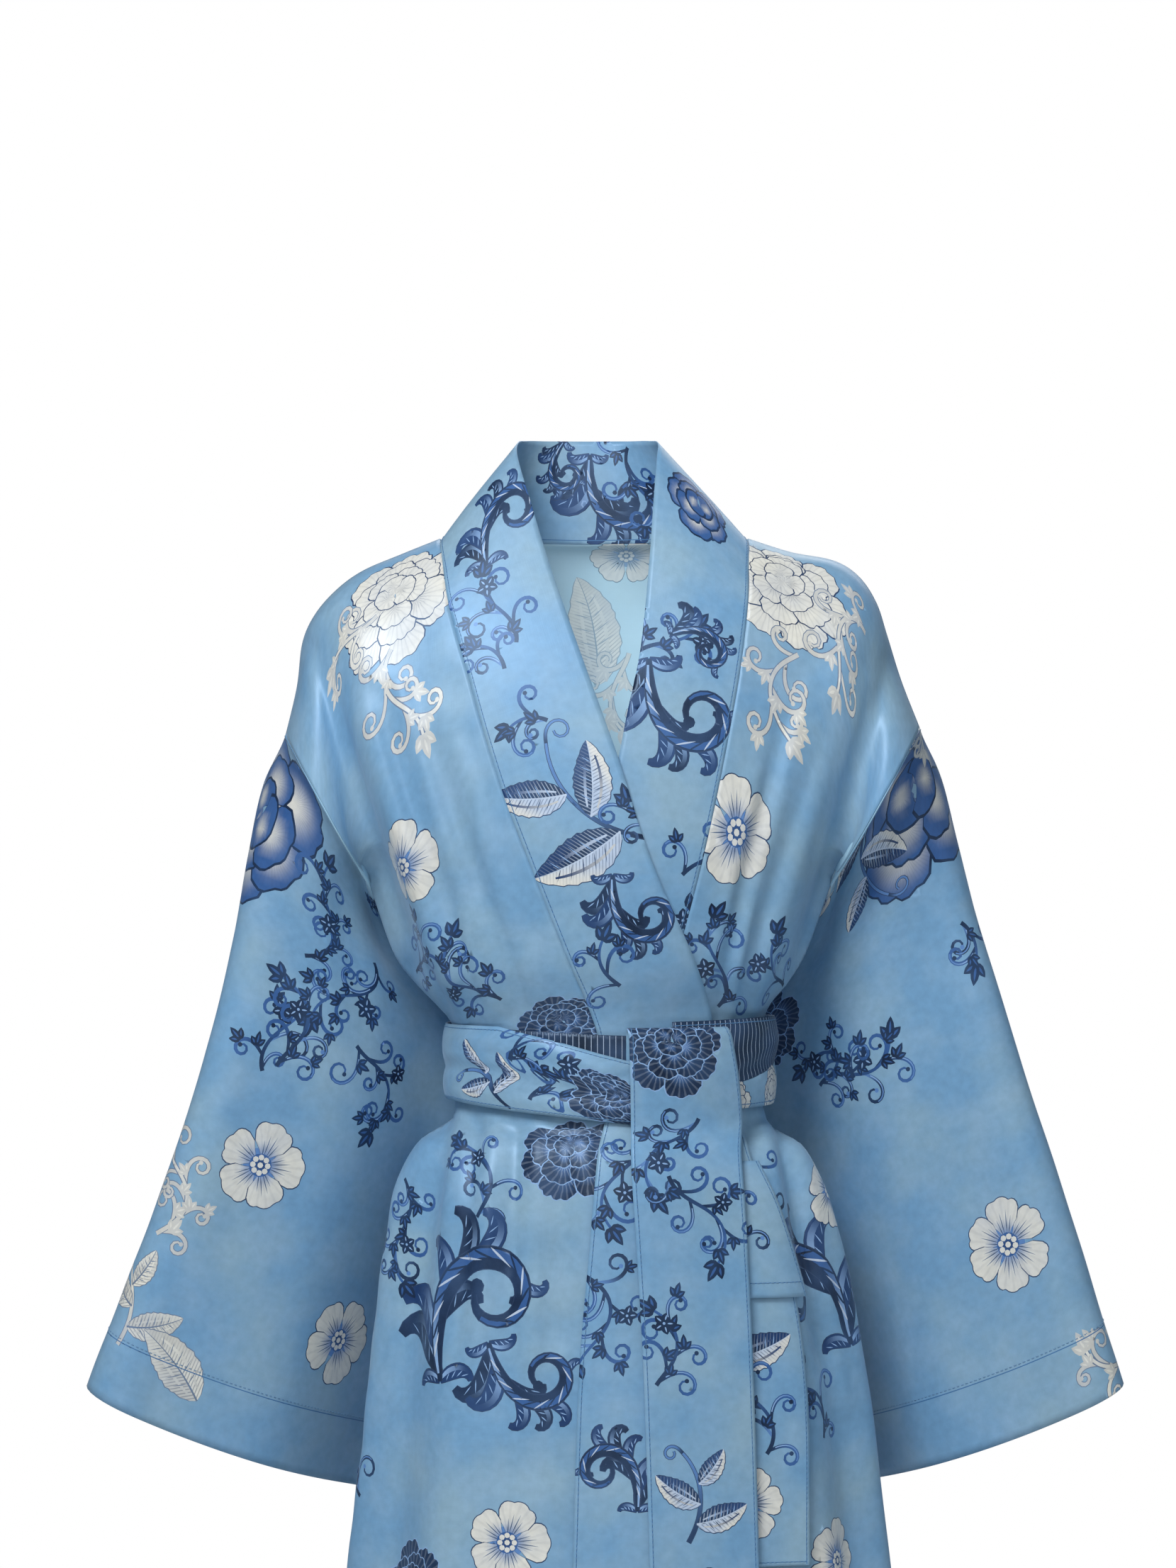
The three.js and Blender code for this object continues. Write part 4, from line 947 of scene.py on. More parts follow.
# Silk satin, woven with long floats: a smooth face with broad soft highlights and a pale bloom
# at grazing angles. The print is dyed in, so its gloss is the ground's.
def silkSatin(name, reverse=False):
    material = bpy.data.materials.new(name)
    material.use_nodes = True
    tree = material.node_tree
    tree.nodes.clear()
    place = addNode(tree, "ShaderNodeUVMap", uv_map="cut").outputs["UV"]

    def noise(size, detail, stretch=(1, 1)):
        scale = (1000 / size / stretch[0], 1000 / size / stretch[1], 1)
        at = addNode(tree, "ShaderNodeMapping", {"Vector": place, "Scale": scale}).outputs[0]
        return addNode(tree, "ShaderNodeTexNoise", {"Vector": at, "Scale": 1.0, "Detail": detail}).outputs["Fac"]

    def spread(value, low, high, a, b):
        ends = {"From Min": low, "From Max": high, "To Min": a, "To Max": b}
        return addNode(tree, "ShaderNodeMapRange", {"Value": value, **ends}).outputs[0]

    def blend(share, a, b, kind="MIX"):
        made = addNode(tree, "ShaderNodeMix", {"Factor": share, 6: a, 7: b}, data_type="RGBA", blend_type=kind)
        return made.outputs[2]

    def colour(text):
        return (*toLinear(text), 1)

    patches, clouds, grain = noise(satin["patchSize"], 4), noise(satin["cloudSize"], 5), noise(satin["grainSize"], 3)
    ground = blend(spread(patches, 0.42, 0.66, 0, 0.85), colour(satin["ground"]), colour(satin["patch"]))
    ground = blend(spread(clouds, 0.45, 0.75, 0, 0.55), ground, colour(satin["cloud"]))
    ink = addNode(tree, "ShaderNodeAttribute", attribute_name="ink")
    fine = addNode(tree, "ShaderNodeAttribute", attribute_name="engraving")
    parts = addNode(tree, "ShaderNodeSeparateXYZ", {0: fine.outputs["Vector"]})
    wave = addNode(tree, "ShaderNodeMath", {0: parts.outputs[0], 1: 0.5}, operation="PINGPONG").outputs[0]
    line = spread(wave, 0.1, 0.2, 1, 0)
    cut = addNode(tree, "ShaderNodeMath", {0: line, 1: parts.outputs[1]}, operation="MULTIPLY").outputs[0]
    pale = addNode(tree, "ShaderNodeMath", {0: cut, 1: -1.0}, operation="MULTIPLY").outputs[0]
    printed = blend(pale, blend(cut, ink.outputs["Color"], colour(inks["line"])), colour(inks["pale"]))
    printed = blend(spread(clouds, 0.3, 0.7, 0, 0.22), printed, colour(inks["mid"]))
    base = blend(ink.outputs["Alpha"], ground, printed)
    shadeOf = spread(grain, 0.3, 0.7, 0.93, 1.05)
    shade = addNode(tree, "ShaderNodeCombineXYZ", {0: shadeOf, 1: shadeOf, 2: shadeOf}).outputs[0]
    base = blend(1.0, base, shade, "MULTIPLY")
    if reverse:
        # Painted light: the reverse is mixed towards a near-white aqua, partly the paler back of the print and partly
        # standing for light that shines through the silk.
        share = spread(ink.outputs["Alpha"], 0, 1, satin["reversePaleAndLitShare"], satin["reversePaleAndLitInk"])
        base = blend(share, base, colour(satin["reverse"]))
    threads = noise(satin["threadWide"], 2, (1, satin["threadLong"] / satin["threadWide"]))
    slub = noise(satin["threadWide"] * 1.3, 2, (9, 1))
    weave = addNode(tree, "ShaderNodeMath", {0: threads, 1: slub}, operation="ADD").outputs[0]
    bump = addNode(tree, "ShaderNodeBump", {"Strength": 0.12, "Distance": 0.0004, "Height": weave}).outputs[0]
    rough = spread(clouds, 0.3, 0.7, satin["roughness"] - 0.03, satin["roughness"] + 0.05)
    shader = addNode(tree, "ShaderNodeBsdfPrincipled", {
        "Base Color": base, "Roughness": rough, "Normal": bump, "IOR": 1.5, "Specular IOR Level": satin["specular"],
        "Specular Tint": (*toLinear(satin["glint"]), 1),
        "Sheen Weight": satin["sheen"], "Sheen Roughness": 0.35, "Sheen Tint": (*toLinear("#cfe2f5"), 1)})
    addNode(tree, "ShaderNodeOutputMaterial", {"Surface": shader.outputs[0]})
    return material


satinFace, satinReverseWithPaintedLight = silkSatin("silkSatinPrinted"), silkSatin("silkSatinReverseWithPaintedLight", True)


def flatMaterial(name, colour, roughness):
    material = bpy.data.materials.new(name)
    material.use_nodes = True
    tree = material.node_tree
    shader = tree.nodes["Principled BSDF"]
    place = addNode(tree, "ShaderNodeTexCoord").outputs["Object"]
    fibre = addNode(tree, "ShaderNodeTexNoise", {"Vector": place, "Scale": 900.0, "Detail": 2.0}).outputs["Fac"]
    pale = toLinear(colour)
    tint = addNode(tree, "ShaderNodeMix", {"Factor": fibre, 6: (*pale, 1), 7: (*(pale * 0.8), 1)}, data_type="RGBA")
    tree.links.new(tint.outputs[2], shader.inputs["Base Color"])
    shader.inputs["Roughness"].default_value = roughness
    return material


# Spun silk thread: a soft, slightly glossy twisted line.
threadSilk = flatMaterial("silkThread", "#6b93b8", 0.5)


# Finishes a printed piece: its wall, materials and body.
def finish(piece, reverse=satinReverseWithPaintedLight):
    piece.data.materials.append(satinFace)
    piece.data.materials.append(reverse)
    wall = piece.modifiers.new("wall", "SOLIDIFY")
    wall.thickness = robe["wall"] / 1000
    wall.offset = 0
    wall.material_offset = 1
    wall.use_even_offset = False
    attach(piece, "root")


sewing = {"spacing": 4.0, "long": 2.9, "radius": 0.3, "lift": 0.75, "sunk": 0.45, "edge": 3.0, "line": 0.7}  # mm


# Rows of small stitches that lie on sheets: runs are pairs of a sheet and a line on its flat cloth.
def stitches(name, runs):
    long, radius = sewing["long"], sewing["radius"]
    verts, faces = [], []
    for sheet, flat in runs:
        length = np.concatenate([[0], np.cumsum(np.linalg.norm(np.diff(flat, axis=0), axis=1))])
        spots = np.arange(sewing["spacing"] / 2, length[-1], sewing["spacing"])
        normals = gridNormals(sheet["grid"]) * sheet["facing"]
        ends = []
        for apart in (-long / 2, long / 2):
            at = np.clip(spots + apart, 0, length[-1])
            r, c = indexOf(sheet, np.stack([np.interp(at, length, flat[:, k]) for k in (0, 1)], -1))
            ends.append(sampled(sheet["grid"], r, c) + unit(sampled(normals, r, c)) * sewing["lift"])
        r, c = indexOf(sheet, np.stack([np.interp(spots, length, flat[:, k]) for k in (0, 1)], -1))
        up = unit(sampled(normals, r, c))
        a, b = ends
        way = unit(b - a)
        side = unit(np.cross(up, way))
        for i in range(len(spots)):
            base = len(verts)
            sunk = up[i] * sewing["sunk"]
            verts += [a[i] - sunk, b[i] - sunk]
            for p in (mix(a[i], b[i], 0.2), mix(a[i], b[i], 0.8)):
                verts += [p + side[i] * radius, p + up[i] * radius, p - side[i] * radius, p - up[i] * radius]
            for k in range(4):
                n = (k + 1) % 4
                faces += [(base, base + 2 + n, base + 2 + k), (base + 1, base + 6 + k, base + 6 + n),
                          (base + 2 + k, base + 2 + n, base + 6 + n, base + 6 + k)]
    mesh = bpy.data.meshes.new(name)
    mesh.from_pydata((np.array(verts) / 1000).tolist(), [], faces)
    mesh.shade_smooth()
    mesh.materials.append(threadSilk)
    piece = bpy.data.objects.new(name, mesh)
    bpy.context.scene.collection.objects.link(piece)
    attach(piece, "root")
    report(f"{name}: {len(faces)} faces")
    return piece


# The motifs of a piece: kind, x and z as seen from the front, size, turn and hand.
def printOf(sheet, entries, seed, near=None):
    shapes = []
    for k, (kind, x, z, size, turn, hand) in enumerate(entries):
        shapes += placed(motif(kind, size, hand, seed * 100 + k), *spotOn(sheet, x, z, near), turn=turn)
    return shapes


# Even cover for the parts of the robe that turn away.
def scatter(sheet, seed, count, keepOff, apart=135):
    rng = np.random.default_rng(seed)
    kinds = ("blossom", "vine", "acanthus", "leaf", "peony", "vine", "blossom", "ivoryPeony", "leaf", "vine",
             "ivoryLeaf")
    sizes = {"blossom": 34, "vine": 84, "acanthus": 60, "leaf": 80, "peony": 50, "ivoryPeony": 52, "ivoryLeaf": 74}
    shapes, spots = [], []
    rows, columns = sheet["grid"].shape[:2]
    for _ in range(count * 40):
        if len(spots) == count:
            break
        r, c, turn = rng.uniform(0, rows - 1), rng.uniform(0, columns - 1), rng.uniform(0, 360)
        seedOf = int(rng.integers(1e6))
        spot = flatOf(sheet, r, c)
        crowded = any(np.hypot(*(spot - s)) < apart for s in spots)
        if crowded or keepOff(sampled(sheet["grid"], np.array(r), np.array(c))):
            continue
        kind = kinds[len(spots) % len(kinds)]
        shapes += placed(motif(kind, sizes[kind], 1 if turn > 180 else -1, seedOf), *spot, turn=turn)
        spots.append(spot)
    return shapes


# The fine pale stripe of the belt's lining, which runs from the top edge to the bottom one. corners go round
# from the top edge's start, and wave is how far the stripes sway.
def pinstripes(corners, pitch, wave=0.0):
    a, b, c, d = (np.array(p, float) for p in corners)
    shapes = [shape([[a, b, c, d]], "lining")]
    count = int(max(np.hypot(*(d - c)), np.hypot(*(a - b))) / pitch)
    s = np.linspace(0.01, 0.99, 18)
    for k in range(count):
        t = (k + 0.5) / count
        low, high = mix(d, c, t), mix(a, b, t)
        path = low + (high - low) * s[:, None]
        sway = wave * np.sin(s * 9 + 0.25 * k) * math.sin(math.pi * t) ** 0.5
        shapes.append(stroke(path + sideways(path) * sway[:, None], 0.5, "stripe"))
    return shapes


# Fine creases and a gentle unevenness, added along the outward normals.
def softened(grid, creases, seed, swell=0.5, hold=None, middles=(0, 40, 0)):
    x, z = grid[..., 0], grid[..., 2]
    rng = np.random.default_rng(seed)
    high = lineFolds(creases, x, z)
    for _ in range(9):
        angle, size, phase = rng.uniform(0, math.pi), rng.uniform(45, 130), rng.uniform(0, 6.3)
        along = x * math.cos(angle) + z * math.sin(angle) + grid[..., 1] * 0.6
        high = high + swell * 0.4 * np.sin(2 * math.pi * along / size + phase)
    if hold is not None:
        high = high * hold
    return grid + gridNormals(grid) * facingOf(grid, middles) * high[..., None]


# A line on the flat cloth, a fixed way in from an edge, "left", "right", "top" or "low". It stops short by a
# share of its length at both ends.
def edgeLine(sheet, edge, inset, short, count=240):
    t = np.linspace(short, 1 - short, count)
    rows, columns = sheet["grid"].shape[:2]
    if edge in ("left", "right"):
        r = t * (rows - 1)
        index = np.arange(rows)
        wide, left = np.interp(r, index, sheet["wide"]), np.interp(r, index, sheet["left"])
        x = left + inset if edge == "left" else left + wide - inset
        return np.stack([x, -np.interp(r, index, sheet["down"])], -1)
    length = sheet["down"][-1]
    r = np.interp(inset if edge == "top" else length - inset, sheet["down"], np.arange(rows)) + 0 * t
    return flatOf(sheet, r, t * (columns - 1))


# Painted shade in the dent of a sewn line: a thin line in a darker blue that stands for the shadow the dent holds.
def seamShadeOf(sheet, edge, inset, short, count=240):
    return stroke(edgeLine(sheet, edge, inset, short, count), sewing["line"], "seam")


def runOf(sheet, edge, inset, short, count=240):
    return sheet, edgeLine(sheet, edge, inset, short, count)


report("frame loaded")

rightFront, leftFront = frontGrid(-1), frontGrid(1)
edgeHold = (ease(us / 0.08) * ease((1 - us) / 0.1))[None, :] * ease(vs / 0.05)[:, None]

# Upper front: the wearer's right.
frontRight = {
    "step": 6.0, "seed": 11,
    "print": [  # kind, x, z, size, turn, hand
        ("ivoryPeony", -160, -50, 58, 15, 1), ("ivoryVine", -160, -134, 76, 180, 1),
        ("ivoryVine", -205, -96, 54, 130, 1), ("blossom", -157, -264, 35, 15, 1),
        ("vine", -108, -350, 84, 25, 1), ("vine", -142, -334, 66, -10, 1),
        ("peony", -27, -392, 40, 20, 1), ("vine", -96, -510, 76, 15, 1), ("acanthus", -112, -606, 84, 10, -1),
        ("vine", -156, -566, 84, 200, 1), ("peony", -20, -494, 46, 20, 1), ("acanthus", -62, -676, 54, 200, 1),
        ("blossom", -70, -800, 34, 0, 1), ("peony", -150, -850, 50, 60, 1), ("vine", -60, -900, 80, 30, 1),
        ("leaf", -90, -1000, 80, 30, 1), ("acanthus", -170, -1060, 60, 200, -1), ("blossom", -30, -1110, 34, 10, 1),
        ("ivoryLeaf", -120, -1160, 74, 60, 1), ("vine", -190, -760, 70, 100, 1),
    ],
    "creases": [  # x and z at both ends, reach, height
        (-232, -90, -154, -345, 12, -9.0), (-208, -110, -126, -352, 14, 6.0), (-180, -130, -98, -370, 12, -5.4),
        (-160, -120, -80, -376, 9, 4.0), (-134, -170, -60, -384, 9, -3.6), (-112, -170, -46, -384, 8, 3.0),
        (-112, -300, -88, -388, 4.5, 2.4), (-98, -320, -74, -388, 4, -2.0), (-84, -310, -60, -388, 4.5, 2.0),
        (-52, -330, -40, -388, 5, 1.8), (-126, -330, -108, -390, 4, 2.2), (-134, -345, -118, -390, 3.5, -2.2),
        (-124, -466, -160, -680, 9, -5.0), (-110, -468, -134, -660, 7, 4.6), (-98, -474, -114, -660, 6, -4.0),
        (-84, -476, -98, -680, 7, 3.8), (-66, -476, -74, -640, 6, -3.6), (-50, -478, -54, -700, 8, 3.6),
        (-28, -480, -30, -640, 7, -2.6), (-10, -480, -8, -700, 6, 2.0),
    ],
}
rightSheet = sheetOf(softened(rightFront, frontRight["creases"], 3, hold=edgeHold)[:, ::-1], "last")
shapes = printOf(rightSheet, frontRight["print"], frontRight["seed"])
upperFront = printedMesh("upperFront", rightSheet, shapes, frontRight["step"])
finish(upperFront)
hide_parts("front_right")

# Lower front: the wearer's left.
frontLeft = {
    "step": 6.0, "seed": 23,
    "print": [
        ("ivoryPeony", 148, -44, 56, -10, 1), ("ivoryVine", 142, -122, 72, 175, 1),
        ("ivoryVine", 198, -84, 80, 140, 1), ("blossom", 110, -238, 35, 30, 1),
        ("vine", 98, -338, 84, -15, 1), ("vine", 142, -345, 66, 20, 1),
        ("acanthus", 172, -596, 80, 10, 1), ("vine", 118, -540, 84, 190, 1), ("blossom", 203, -520, 32, 5, 1),
        ("vine", 170, -690, 80, 40, 1), ("peony", 110, -770, 50, 0, 1), ("blossom", 190, -820, 34, 0, 1),
        ("acanthus", 100, -930, 60, 30, 1), ("leaf", 190, -980, 80, 10, -1), ("blossom", 90, -1080, 34, 0, 1),
        ("vine", 180, -1120, 80, 60, 1),
    ],
    "creases": [
        (236, -100, 164, -340, 12, -8.0), (214, -120, 140, -350, 13, 5.4), (188, -140, 116, -360, 11, -5.0),
        (168, -120, 98, -372, 9, 3.8), (148, -150, 90, -376, 8, -3.4), (126, -190, 82, -384, 7, 2.8),
        (120, -300, 104, -388, 4.5, 2.4), (110, -310, 94, -388, 4, -2.0), (140, -310, 122, -388, 4.5, 2.2),
        (148, -330, 134, -388, 4, -2.2), (132, -468, 158, -640, 8, 4.8), (146, -474, 178, -660, 7, -4.6),
        (160, -480, 196, -700, 9, 5.0), (118, -478, 132, -640, 7, -4.0), (104, -480, 112, -640, 7, 3.0),
    ],
}
leftSheet = sheetOf(softened(leftFront, frontLeft["creases"], 4, hold=edgeHold), "first")
shapes = printOf(leftSheet, frontLeft["print"], frontLeft["seed"])
underFront = printedMesh("underFront", leftSheet, shapes, frontLeft["step"])
finish(underFront)
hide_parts("front_left")

# The back, which shows its reverse through the neck: paler than its face, and brightened further by painted light.
back = {
    "step": 8.0, "seed": 31,
    "print": [("ivoryLeaf", -4, -70, 92, 12, 1), ("ivoryVine", 14, -128, 60, 200, 1), ("blossom", 22, -10, 30, 0, 1)],
    "creases": [
        (-150, -130, -60, -376, 9, 3.0), (-120, -140, -40, -376, 9, -2.4), (150, -140, 64, -376, 9, 3.0),
        (118, -150, 44, -376, 9, -2.4), (-60, -480, -66, -700, 9, 3.0), (60, -480, 70, -700, 9, 3.0),
        (-30, -480, -34, -700, 8, -2.4), (30, -480, 36, -700, 8, -2.4),
    ],
}
backHold = (ease(us / 0.06) * ease((1 - us) / 0.06))[None, :] * ease(vs / 0.05)[:, None]
backSheet = sheetOf(softened(backGrid(), back["creases"], 5, hold=backHold), "centre")
shapes = printOf(backSheet, back["print"], back["seed"])
shapes += scatter(backSheet, 7, 16, lambda p: abs(p[0] + 5) < 75 and p[2] > -190)
backPanel = printedMesh("backPanel", backSheet, shapes, back["step"])
finish(backPanel)
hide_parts("back")

# Collar band, doubled, so both its sides are the printed face.
band = {
    "step": 4.5, "seed": 41, "stitchInset": 3.2,
    "upper": [
        ("acanthus", -82, 16, 50, 190, 1), ("vine", -86, -50, 66, 200, 1), ("vine", -92, -94, 34, 150, -1),
        ("spray", -24, -224, 128, 150, 1), ("vine", 22, -222, 28, 190, 1), ("acanthus", 26, -304, 46, 20, -1),
        ("vine", 4, -345, 42, 200, 1), ("vine", -62, -150, 30, 100, 1),
    ],
    "under": [
        ("bluePeony", 80, 24, 34, 20, 1), ("vine", 56, -74, 50, 20, 1), ("acanthus", 84, -84, 34, 60, 1),
        ("acanthus", 58, -142, 62, 170, -1), ("vine", 80, -250, 40, 0, 1), ("vine", 72, -325, 60, 10, 1),
    ],
    "neck": [("acanthus", 10, 34, 52, 90, 1), ("vine", 30, 46, 60, 80, 1), ("acanthus", -34, 60, 30, 60, 1)],
}
bandSheet = sheetOf(bandGrid(rightFront, leftFront), None)
onSide = np.arange(len(bandSheet["grid"]))[:, None] < len(bandSheet["grid"]) // 2
ahead = bandSheet["grid"][..., 1] < 20
shapes = printOf(bandSheet, band["upper"], band["seed"], ahead & onSide)
shapes += printOf(bandSheet, band["under"], band["seed"] + 1, ahead & ~onSide)
shapes += printOf(bandSheet, band["neck"], band["seed"] + 2, bandSheet["grid"][..., 1] > 40)
shapes += scatter(bandSheet, 9, 6, lambda p: p[2] > -470)
# The band's sewn line gets a thin line of painted shade for its dent.
shapes.append(seamShadeOf(bandSheet, "left", band["stitchInset"], 0.001, 700))
collarBand = printedMesh("collarBand", bandSheet, shapes, band["step"])
finish(collarBand, reverse=satinFace)
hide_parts("collar_band")
bandThread = stitches("bandStitches", [runOf(bandSheet, "left", band["stitchInset"], 0.002, 900)])

# Sleeves, wide panels folded at their outer edge, with a deep turned cuff.
sleeves = {
    "step": 7.0, "cuff": 50,
    "right": [
        ("bluePeony", -270, -226, 70, 80, 1), ("vine", -222, -304, 96, -20, 1), ("vine", -266, -396, 50, 10, -1),
        ("vine", -205, -372, 92, 160, 1), ("vine", -244, -392, 80, 20, -1), ("vine", -186, -452, 84, 200, 1),
        ("blossom", -273, -507, 37, 10, 1), ("ivoryVine", -341, -524, 84, 10, 1),
        ("ivorySpray", -372, -612, 84, 20, 1), ("ivoryLeaf", -344, -668, 74, 60, 1),
        ("blossom", -214, -657, 36, 0, 1), ("vine", -150, -300, 50, 60, 1),
    ],
    "left": [
        ("bluePeony", 258, -206, 78, 40, 1), ("spray", 212, -270, 104, 190, 1), ("ivoryVine", 232, -146, 84, 200, 1),
        ("blossom", 332, -572, 37, 20, 1), ("vine", 216, -430, 84, -60, 1), ("vine", 186, -420, 66, 60, 1),
        ("blossom", 180, -290, 28, 0, 1), ("vine", 306, -330, 34, 200, 1), ("ivoryVine", 410, -660, 50, 30, 1),
    ],
    "creases": {
        "sleeve_right": [
            (-200, -300, -160, -640, 26, -8), (-240, -230, -190, -470, 13, 3.0), (-206, -280, -160, -470, 11, -3.4),
            (-262, -250, -236, -560, 16, -2.2), (-300, -420, -330, -660, 18, 2.6), (-190, -480, -196, -690, 14, 2.6),
            (-250, -470, -262, -700, 15, -2.2),
        ],
        "sleeve_left": [
            (204, -300, 172, -640, 26, -8), (246, -230, 196, -470, 13, 3.0), (214, -280, 166, -470, 11, -3.4),
            (270, -250, 246, -560, 16, -2.2), (308, -420, 340, -660, 18, 2.6), (204, -480, 214, -690, 14, 2.6),
            (262, -470, 276, -700, 15, -2.2),
        ],
    },
}
for name, rows, side, node in (("sleeveRight", rightSleeveRows, -1, "sleeve_right"),
                               ("sleeveLeft", leftSleeveRows, 1, "sleeve_left")):
    grid = sleeveGrid(rows, side)
    atFront = ease((25 - grid[..., 1]) / 50) * ease(vs / 0.1)[:, None]
    grid = softened(grid, sleeves["creases"][node], 8 + side, 0.4, atFront, grid.mean(1)[:, None])
    sheet = sheetOf(grid, "centre", inside=lambda g: g.mean(1))
    columns = np.arange(sheet["grid"].shape[1])
    atFront = np.repeat([columns >= len(columns) // 2 if side < 0 else columns < len(columns) // 2],
                        len(sheet["grid"]), axis=0)
    shapes = scatter(sheet, 12 + side, 8, lambda p: p[1] < 60)
    shapes += printOf(sheet, sleeves["right" if side < 0 else "left"], 50 + side, atFront)
    # A thin line of painted shade where the cuff's turned hem is sewn.
    shapes.append(stroke(edgeLine(sheet, "low", sleeves["cuff"], 0.01), 0.8, "seam"))
    piece = printedMesh(name, sheet, shapes, sleeves["step"])
    finish(piece)
    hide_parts(node)
    thread = stitches(name + "Stitches", [runOf(sheet, "low", sleeves["cuff"] + 2.4, 0.01),
                                          runOf(sheet, "top", sewing["edge"], 0.01)])

hemmed = (rightSheet, leftSheet, backSheet)
hemThread = stitches("hemStitches", [runOf(s, "low", robe["hemDepth"], 0.02) for s in hemmed])

# The belt: printed outside, striped lining inside, which shows where its top edge slips down at the
# front and where it turns over at the far side of the knot.
belt = {
    "step": 3.6, "seed": 71, "stripePitch": 4.8, "turnedPitch": 5.0,
    "print": [("spray", -86, -432, 62, 60, 1), ("vine", -28, -436, 56, -70, 1), ("peony", 10, -450, 34, 0, 1),
              ("vine", -60, -410, 34, -80, 1)],
    "creases": [(-126, -424, -64, -430, 4.6, -2.0), (-124, -410, -30, -424, 4.6, -1.4),
                (-118, -440, -84, -438, 4, -1.6), (-70, -445, 24, -452, 4.4, -1.5),
                (-60, -404, 10, -428, 4.6, 1.2), (30, -430, -20, -440, 4.4, -1.3),
                (144, -420, 110, -432, 4, -1.6), (146, -404, 116, -420, 4, 1.3)],
    "turnedPrint": [("ivoryPeony", 104, -456, 24, 10, 1), ("ivoryPeony", 140, -446, 20, 60, 1)],
    "turned": ((58, -386), (146, -386), (146, -424), (58, -452)),  # corners of the lining that shows
}
grid = beltGrid()
beltSheet = sheetOf(softened(grid, belt["creases"], 17, 0.3, hold=(grid[..., 1] < 0) * 1.0), None, 1.5)
early = np.arange(beltSheet["grid"].shape[1])[None, :] < beltSheet["grid"].shape[1] // 2
atFront = beltSheet["grid"][..., 1] < 0
turned, nearSide = atFront & early, atFront & ~early
shapes = scatter(beltSheet, 15, 5, lambda p: p[1] < 20)
shapes += pinstripes([spotOn(beltSheet, *p, turned) for p in belt["turned"]], belt["turnedPitch"], 1.3)
shapes += printOf(beltSheet, belt["turnedPrint"], 77, turned)
shapes += printOf(beltSheet, belt["print"], belt["seed"], nearSide)
# Painted shade along the belt's sewn lines.
shapes += [seamShadeOf(beltSheet, edge, sewing["edge"], 0.002) for edge in ("top", "low")]
beltRing = printedMesh("beltRing", beltSheet, shapes, belt["step"])
finish(beltRing, satinFace)
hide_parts("belt_wrap")
lining = {"start": 0.86, "end": 1.064, "inward": 2.4, "count": 201, "edges": (-394, -401, -440)}
liningSheet = sheetOf(beltGrid(**lining), None, 1.5)
lastRow, lastColumn = liningSheet["grid"].shape[0] - 1, liningSheet["grid"].shape[1] - 1
corners = [flatOf(liningSheet, *at) for at in ((0, 0), (0, lastColumn), (lastRow, lastColumn), (lastRow, 0))]
beltLining = printedMesh("beltLining", liningSheet, pinstripes(corners, belt["stripePitch"]), belt["step"])
finish(beltLining, satinFace)
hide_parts("belt_wrap")

tails = {
    "step": 3.6, "shortHem": 12,
    "frontTail": [("peony", 62, -412, 44, 10, 1), ("vine", 46, -496, 80, 170, 1), ("vine", 86, -548, 84, 190, 1),
                  ("vine", 56, -640, 66, 10, 1), ("spray", 80, -760, 80, 0, 1), ("blossom", 84, -850, 32, 0, 1)],
    "rightTail": [("vine", 14, -520, 84, 180, 1), ("vine", 4, -622, 84, 190, 1), ("acanthus", 20, -740, 44, 0, 1)],
    "leftTail": [("leaf", 128, -650, 60, -70, 1), ("vine", 128, -700, 66, 0, 1), ("blossom", 118, -770, 30, 0, 1)],
    "shortEnd": [("vine", 108, -540, 50, 30, 1)],
}
hidden = {"frontTail": 41}  # first rows of the sheet, which stand behind and over the belt, without print
for order, (name, grid, node, flat) in enumerate((
        ("frontTail", frontTailGrid(), "belt_tail_front", (0.083, 0.6)),
        ("rightTail", tailGrid(rightTailRows, 0.8), "belt_tail_right", (0.083, 0.42)),
        ("leftTail", tailGrid(leftTailRows), "belt_tail_left", (0.083, 0.4)),
        ("shortEnd", tailGrid(shortEndRows), "belt_short_end", (0.083, 0.11)))):
    sheet = sheetOf(grid, "centre", 1.5)
    rows, columns = sheet["grid"].shape[:2]
    shown = np.repeat(np.arange(rows)[:, None] >= hidden.get(name, 0), columns, axis=1)
    hem = tails["shortHem"] if name == "shortEnd" else sewing["edge"]
    shapes = printOf(sheet, tails[name], 80 + order, shown)
    # Painted shade along the tail's sewn lines and hem.
    shapes += [seamShadeOf(sheet, edge, sewing["edge"], 0.002) for edge in ("left", "right")]
    shapes.append(seamShadeOf(sheet, "low", hem, 0.03))
    piece = printedMesh(name, sheet, shapes, tails["step"])
    finish(piece, satinFace)
    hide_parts(node)
    runs = [runOf(sheet, edge, sewing["edge"], 0.01) for edge in ("left", "right")] + [runOf(sheet, "low", hem, 0.04)]
    thread = stitches(name + "Stitches", runs)
beltThread = stitches("beltStitches", [runOf(beltSheet, edge, sewing["edge"], 0.005) for edge in ("top", "low")])

report("pieces made")

studio = {
    "distance": 5.0, "plane": -0.04, "x": -0.009, "z": -0.199, "fieldWide": 0.948,  # metres
    "floorZ": -1.32, "key": 102, "front": 16, "fill": 8, "rim": 30, "inside": 0.05, "ambient": 0.2,
}
camera = bpy.data.objects.new("camera", bpy.data.cameras.new("camera"))
bpy.context.scene.collection.objects.link(camera)
camera.location = (studio["x"], studio["plane"] - studio["distance"], studio["z"])
camera.rotation_euler = (math.radians(90), 0, 0)
camera.data.sensor_fit = "HORIZONTAL"
camera.data.sensor_width = 36
camera.data.lens = 36 * studio["distance"] / studio["fieldWide"]
bpy.context.scene.camera = camera

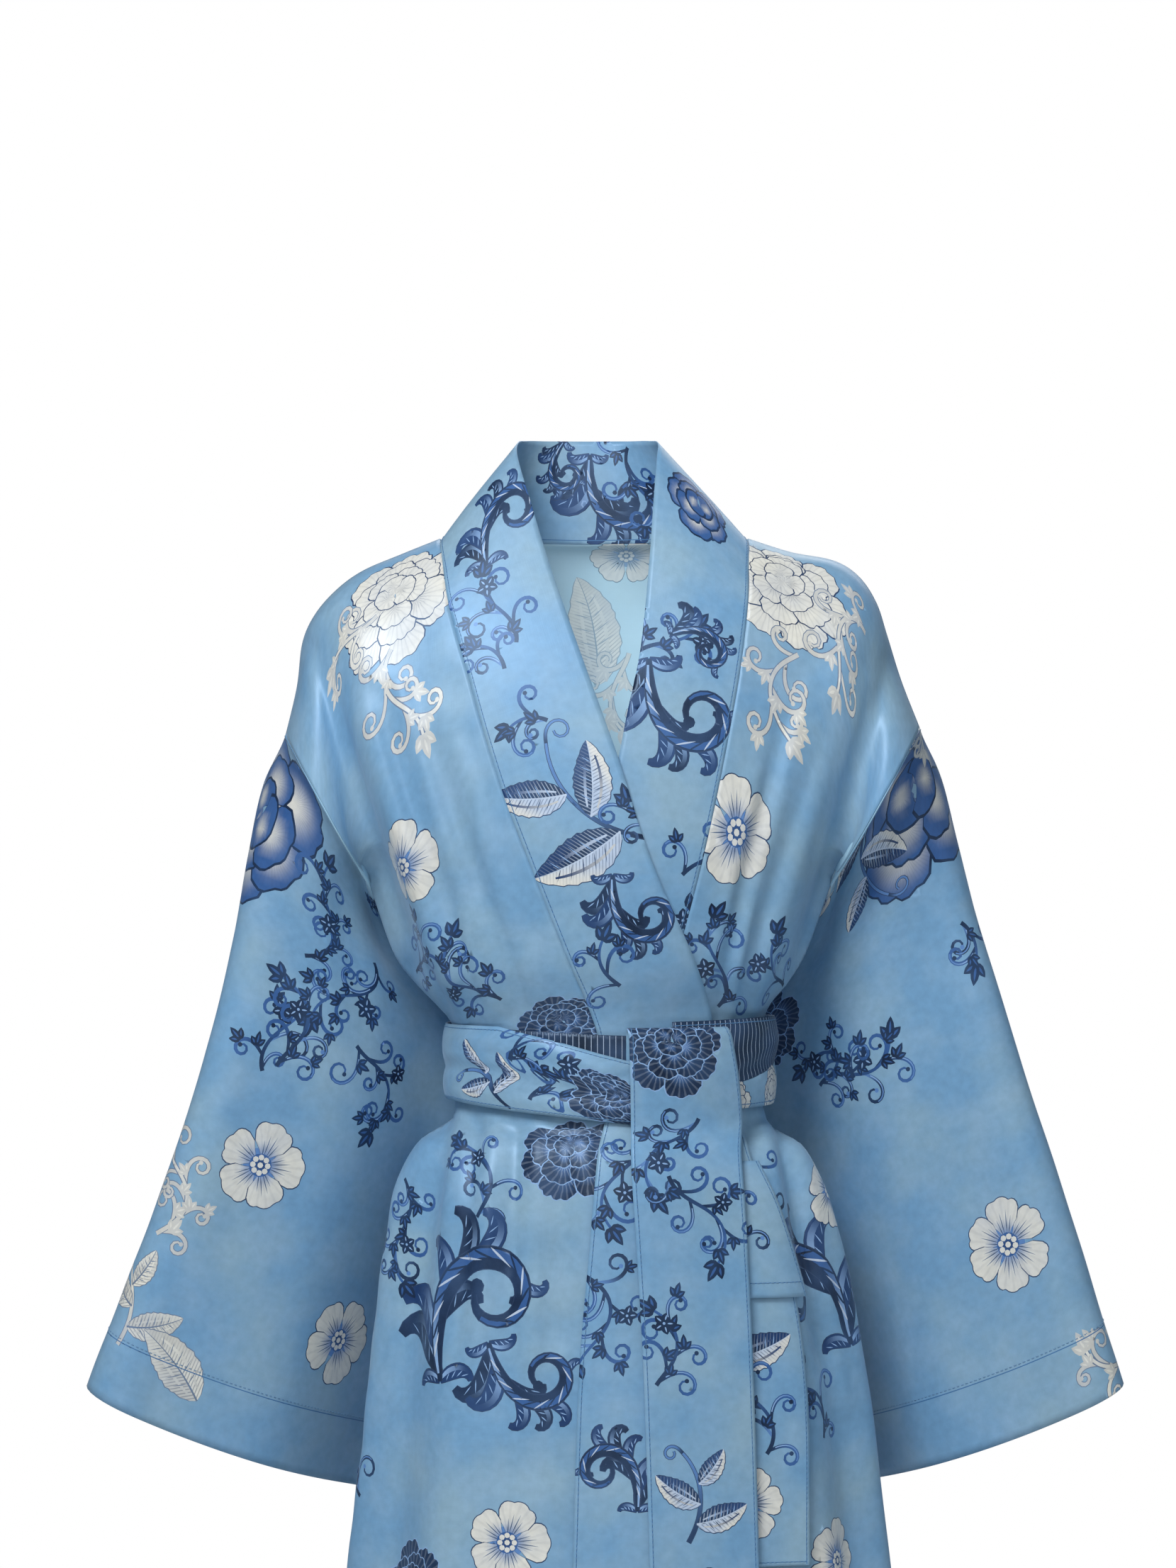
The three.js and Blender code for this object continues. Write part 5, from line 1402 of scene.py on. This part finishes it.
for name, at, aim, size, power in (
        ("keyLight", (-1.0, -2.3, 2.0), (0, 0, -0.3), (1.3, 1.3), studio["key"]),
        ("frontLight", (0.2, -3.6, 0.5), (0, 0, -0.2), (1.4, 1.4), studio["front"]),
        ("fillLight", (2.6, -1.2, 0.6), (0, 0, -0.4), (2.0, 2.4), studio["fill"]),
        ("backLight", (0.6, 2.4, 1.6), (0, 0, -0.3), (2.6, 1.6), studio["rim"]),
        ("neckLight", (-0.005, 0.0, -0.14), (-0.005, 0.12, -0.06), (0.1, 0.1), studio["inside"])):  # inside the body
    light = bpy.data.lights.new(name, "AREA")
    light.shape, light.size, light.size_y, light.energy = "RECTANGLE", *size, power
    lamp = bpy.data.objects.new(name, light)
    lamp.location = at
    lamp.rotation_euler = (Vector(aim) - Vector(at)).to_track_quat("-Z", "Y").to_euler()
    bpy.context.scene.collection.objects.link(lamp)

# A white paper background, dimmer as a light than it looks.
world = bpy.data.worlds.new("studio")
bpy.context.scene.world = world
world.use_nodes = True
seen = addNode(world.node_tree, "ShaderNodeLightPath").outputs["Is Camera Ray"]
power = {"Value": seen, "To Min": studio["ambient"], "To Max": 1.0}
strength = addNode(world.node_tree, "ShaderNodeMapRange", power).outputs[0]
tints = {"Factor": seen, 6: (*toLinear("#b4d4ee"), 1), 7: (1, 1, 1, 1)}
tint = addNode(world.node_tree, "ShaderNodeMix", tints, data_type="RGBA").outputs[2]
backdrop = world.node_tree.nodes["Background"]
world.node_tree.links.new(tint, backdrop.inputs["Color"])
world.node_tree.links.new(strength, backdrop.inputs["Strength"])
bpy.context.scene.view_settings.view_transform = "Standard"

floor = bpy.data.objects.new("floor", bpy.data.meshes.new("floor"))
s, z = 2.4, studio["floorZ"]
floor.data.from_pydata([(-s, -s, z), (s, -s, z), (s, s, z), (-s, s, z)], [], [(0, 1, 2, 3)])
floor.data.materials.append(flatMaterial("paintedFloor", "#f4f4f2", 0.8))
bpy.context.scene.collection.objects.link(floor)

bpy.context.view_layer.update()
report("scene ready")
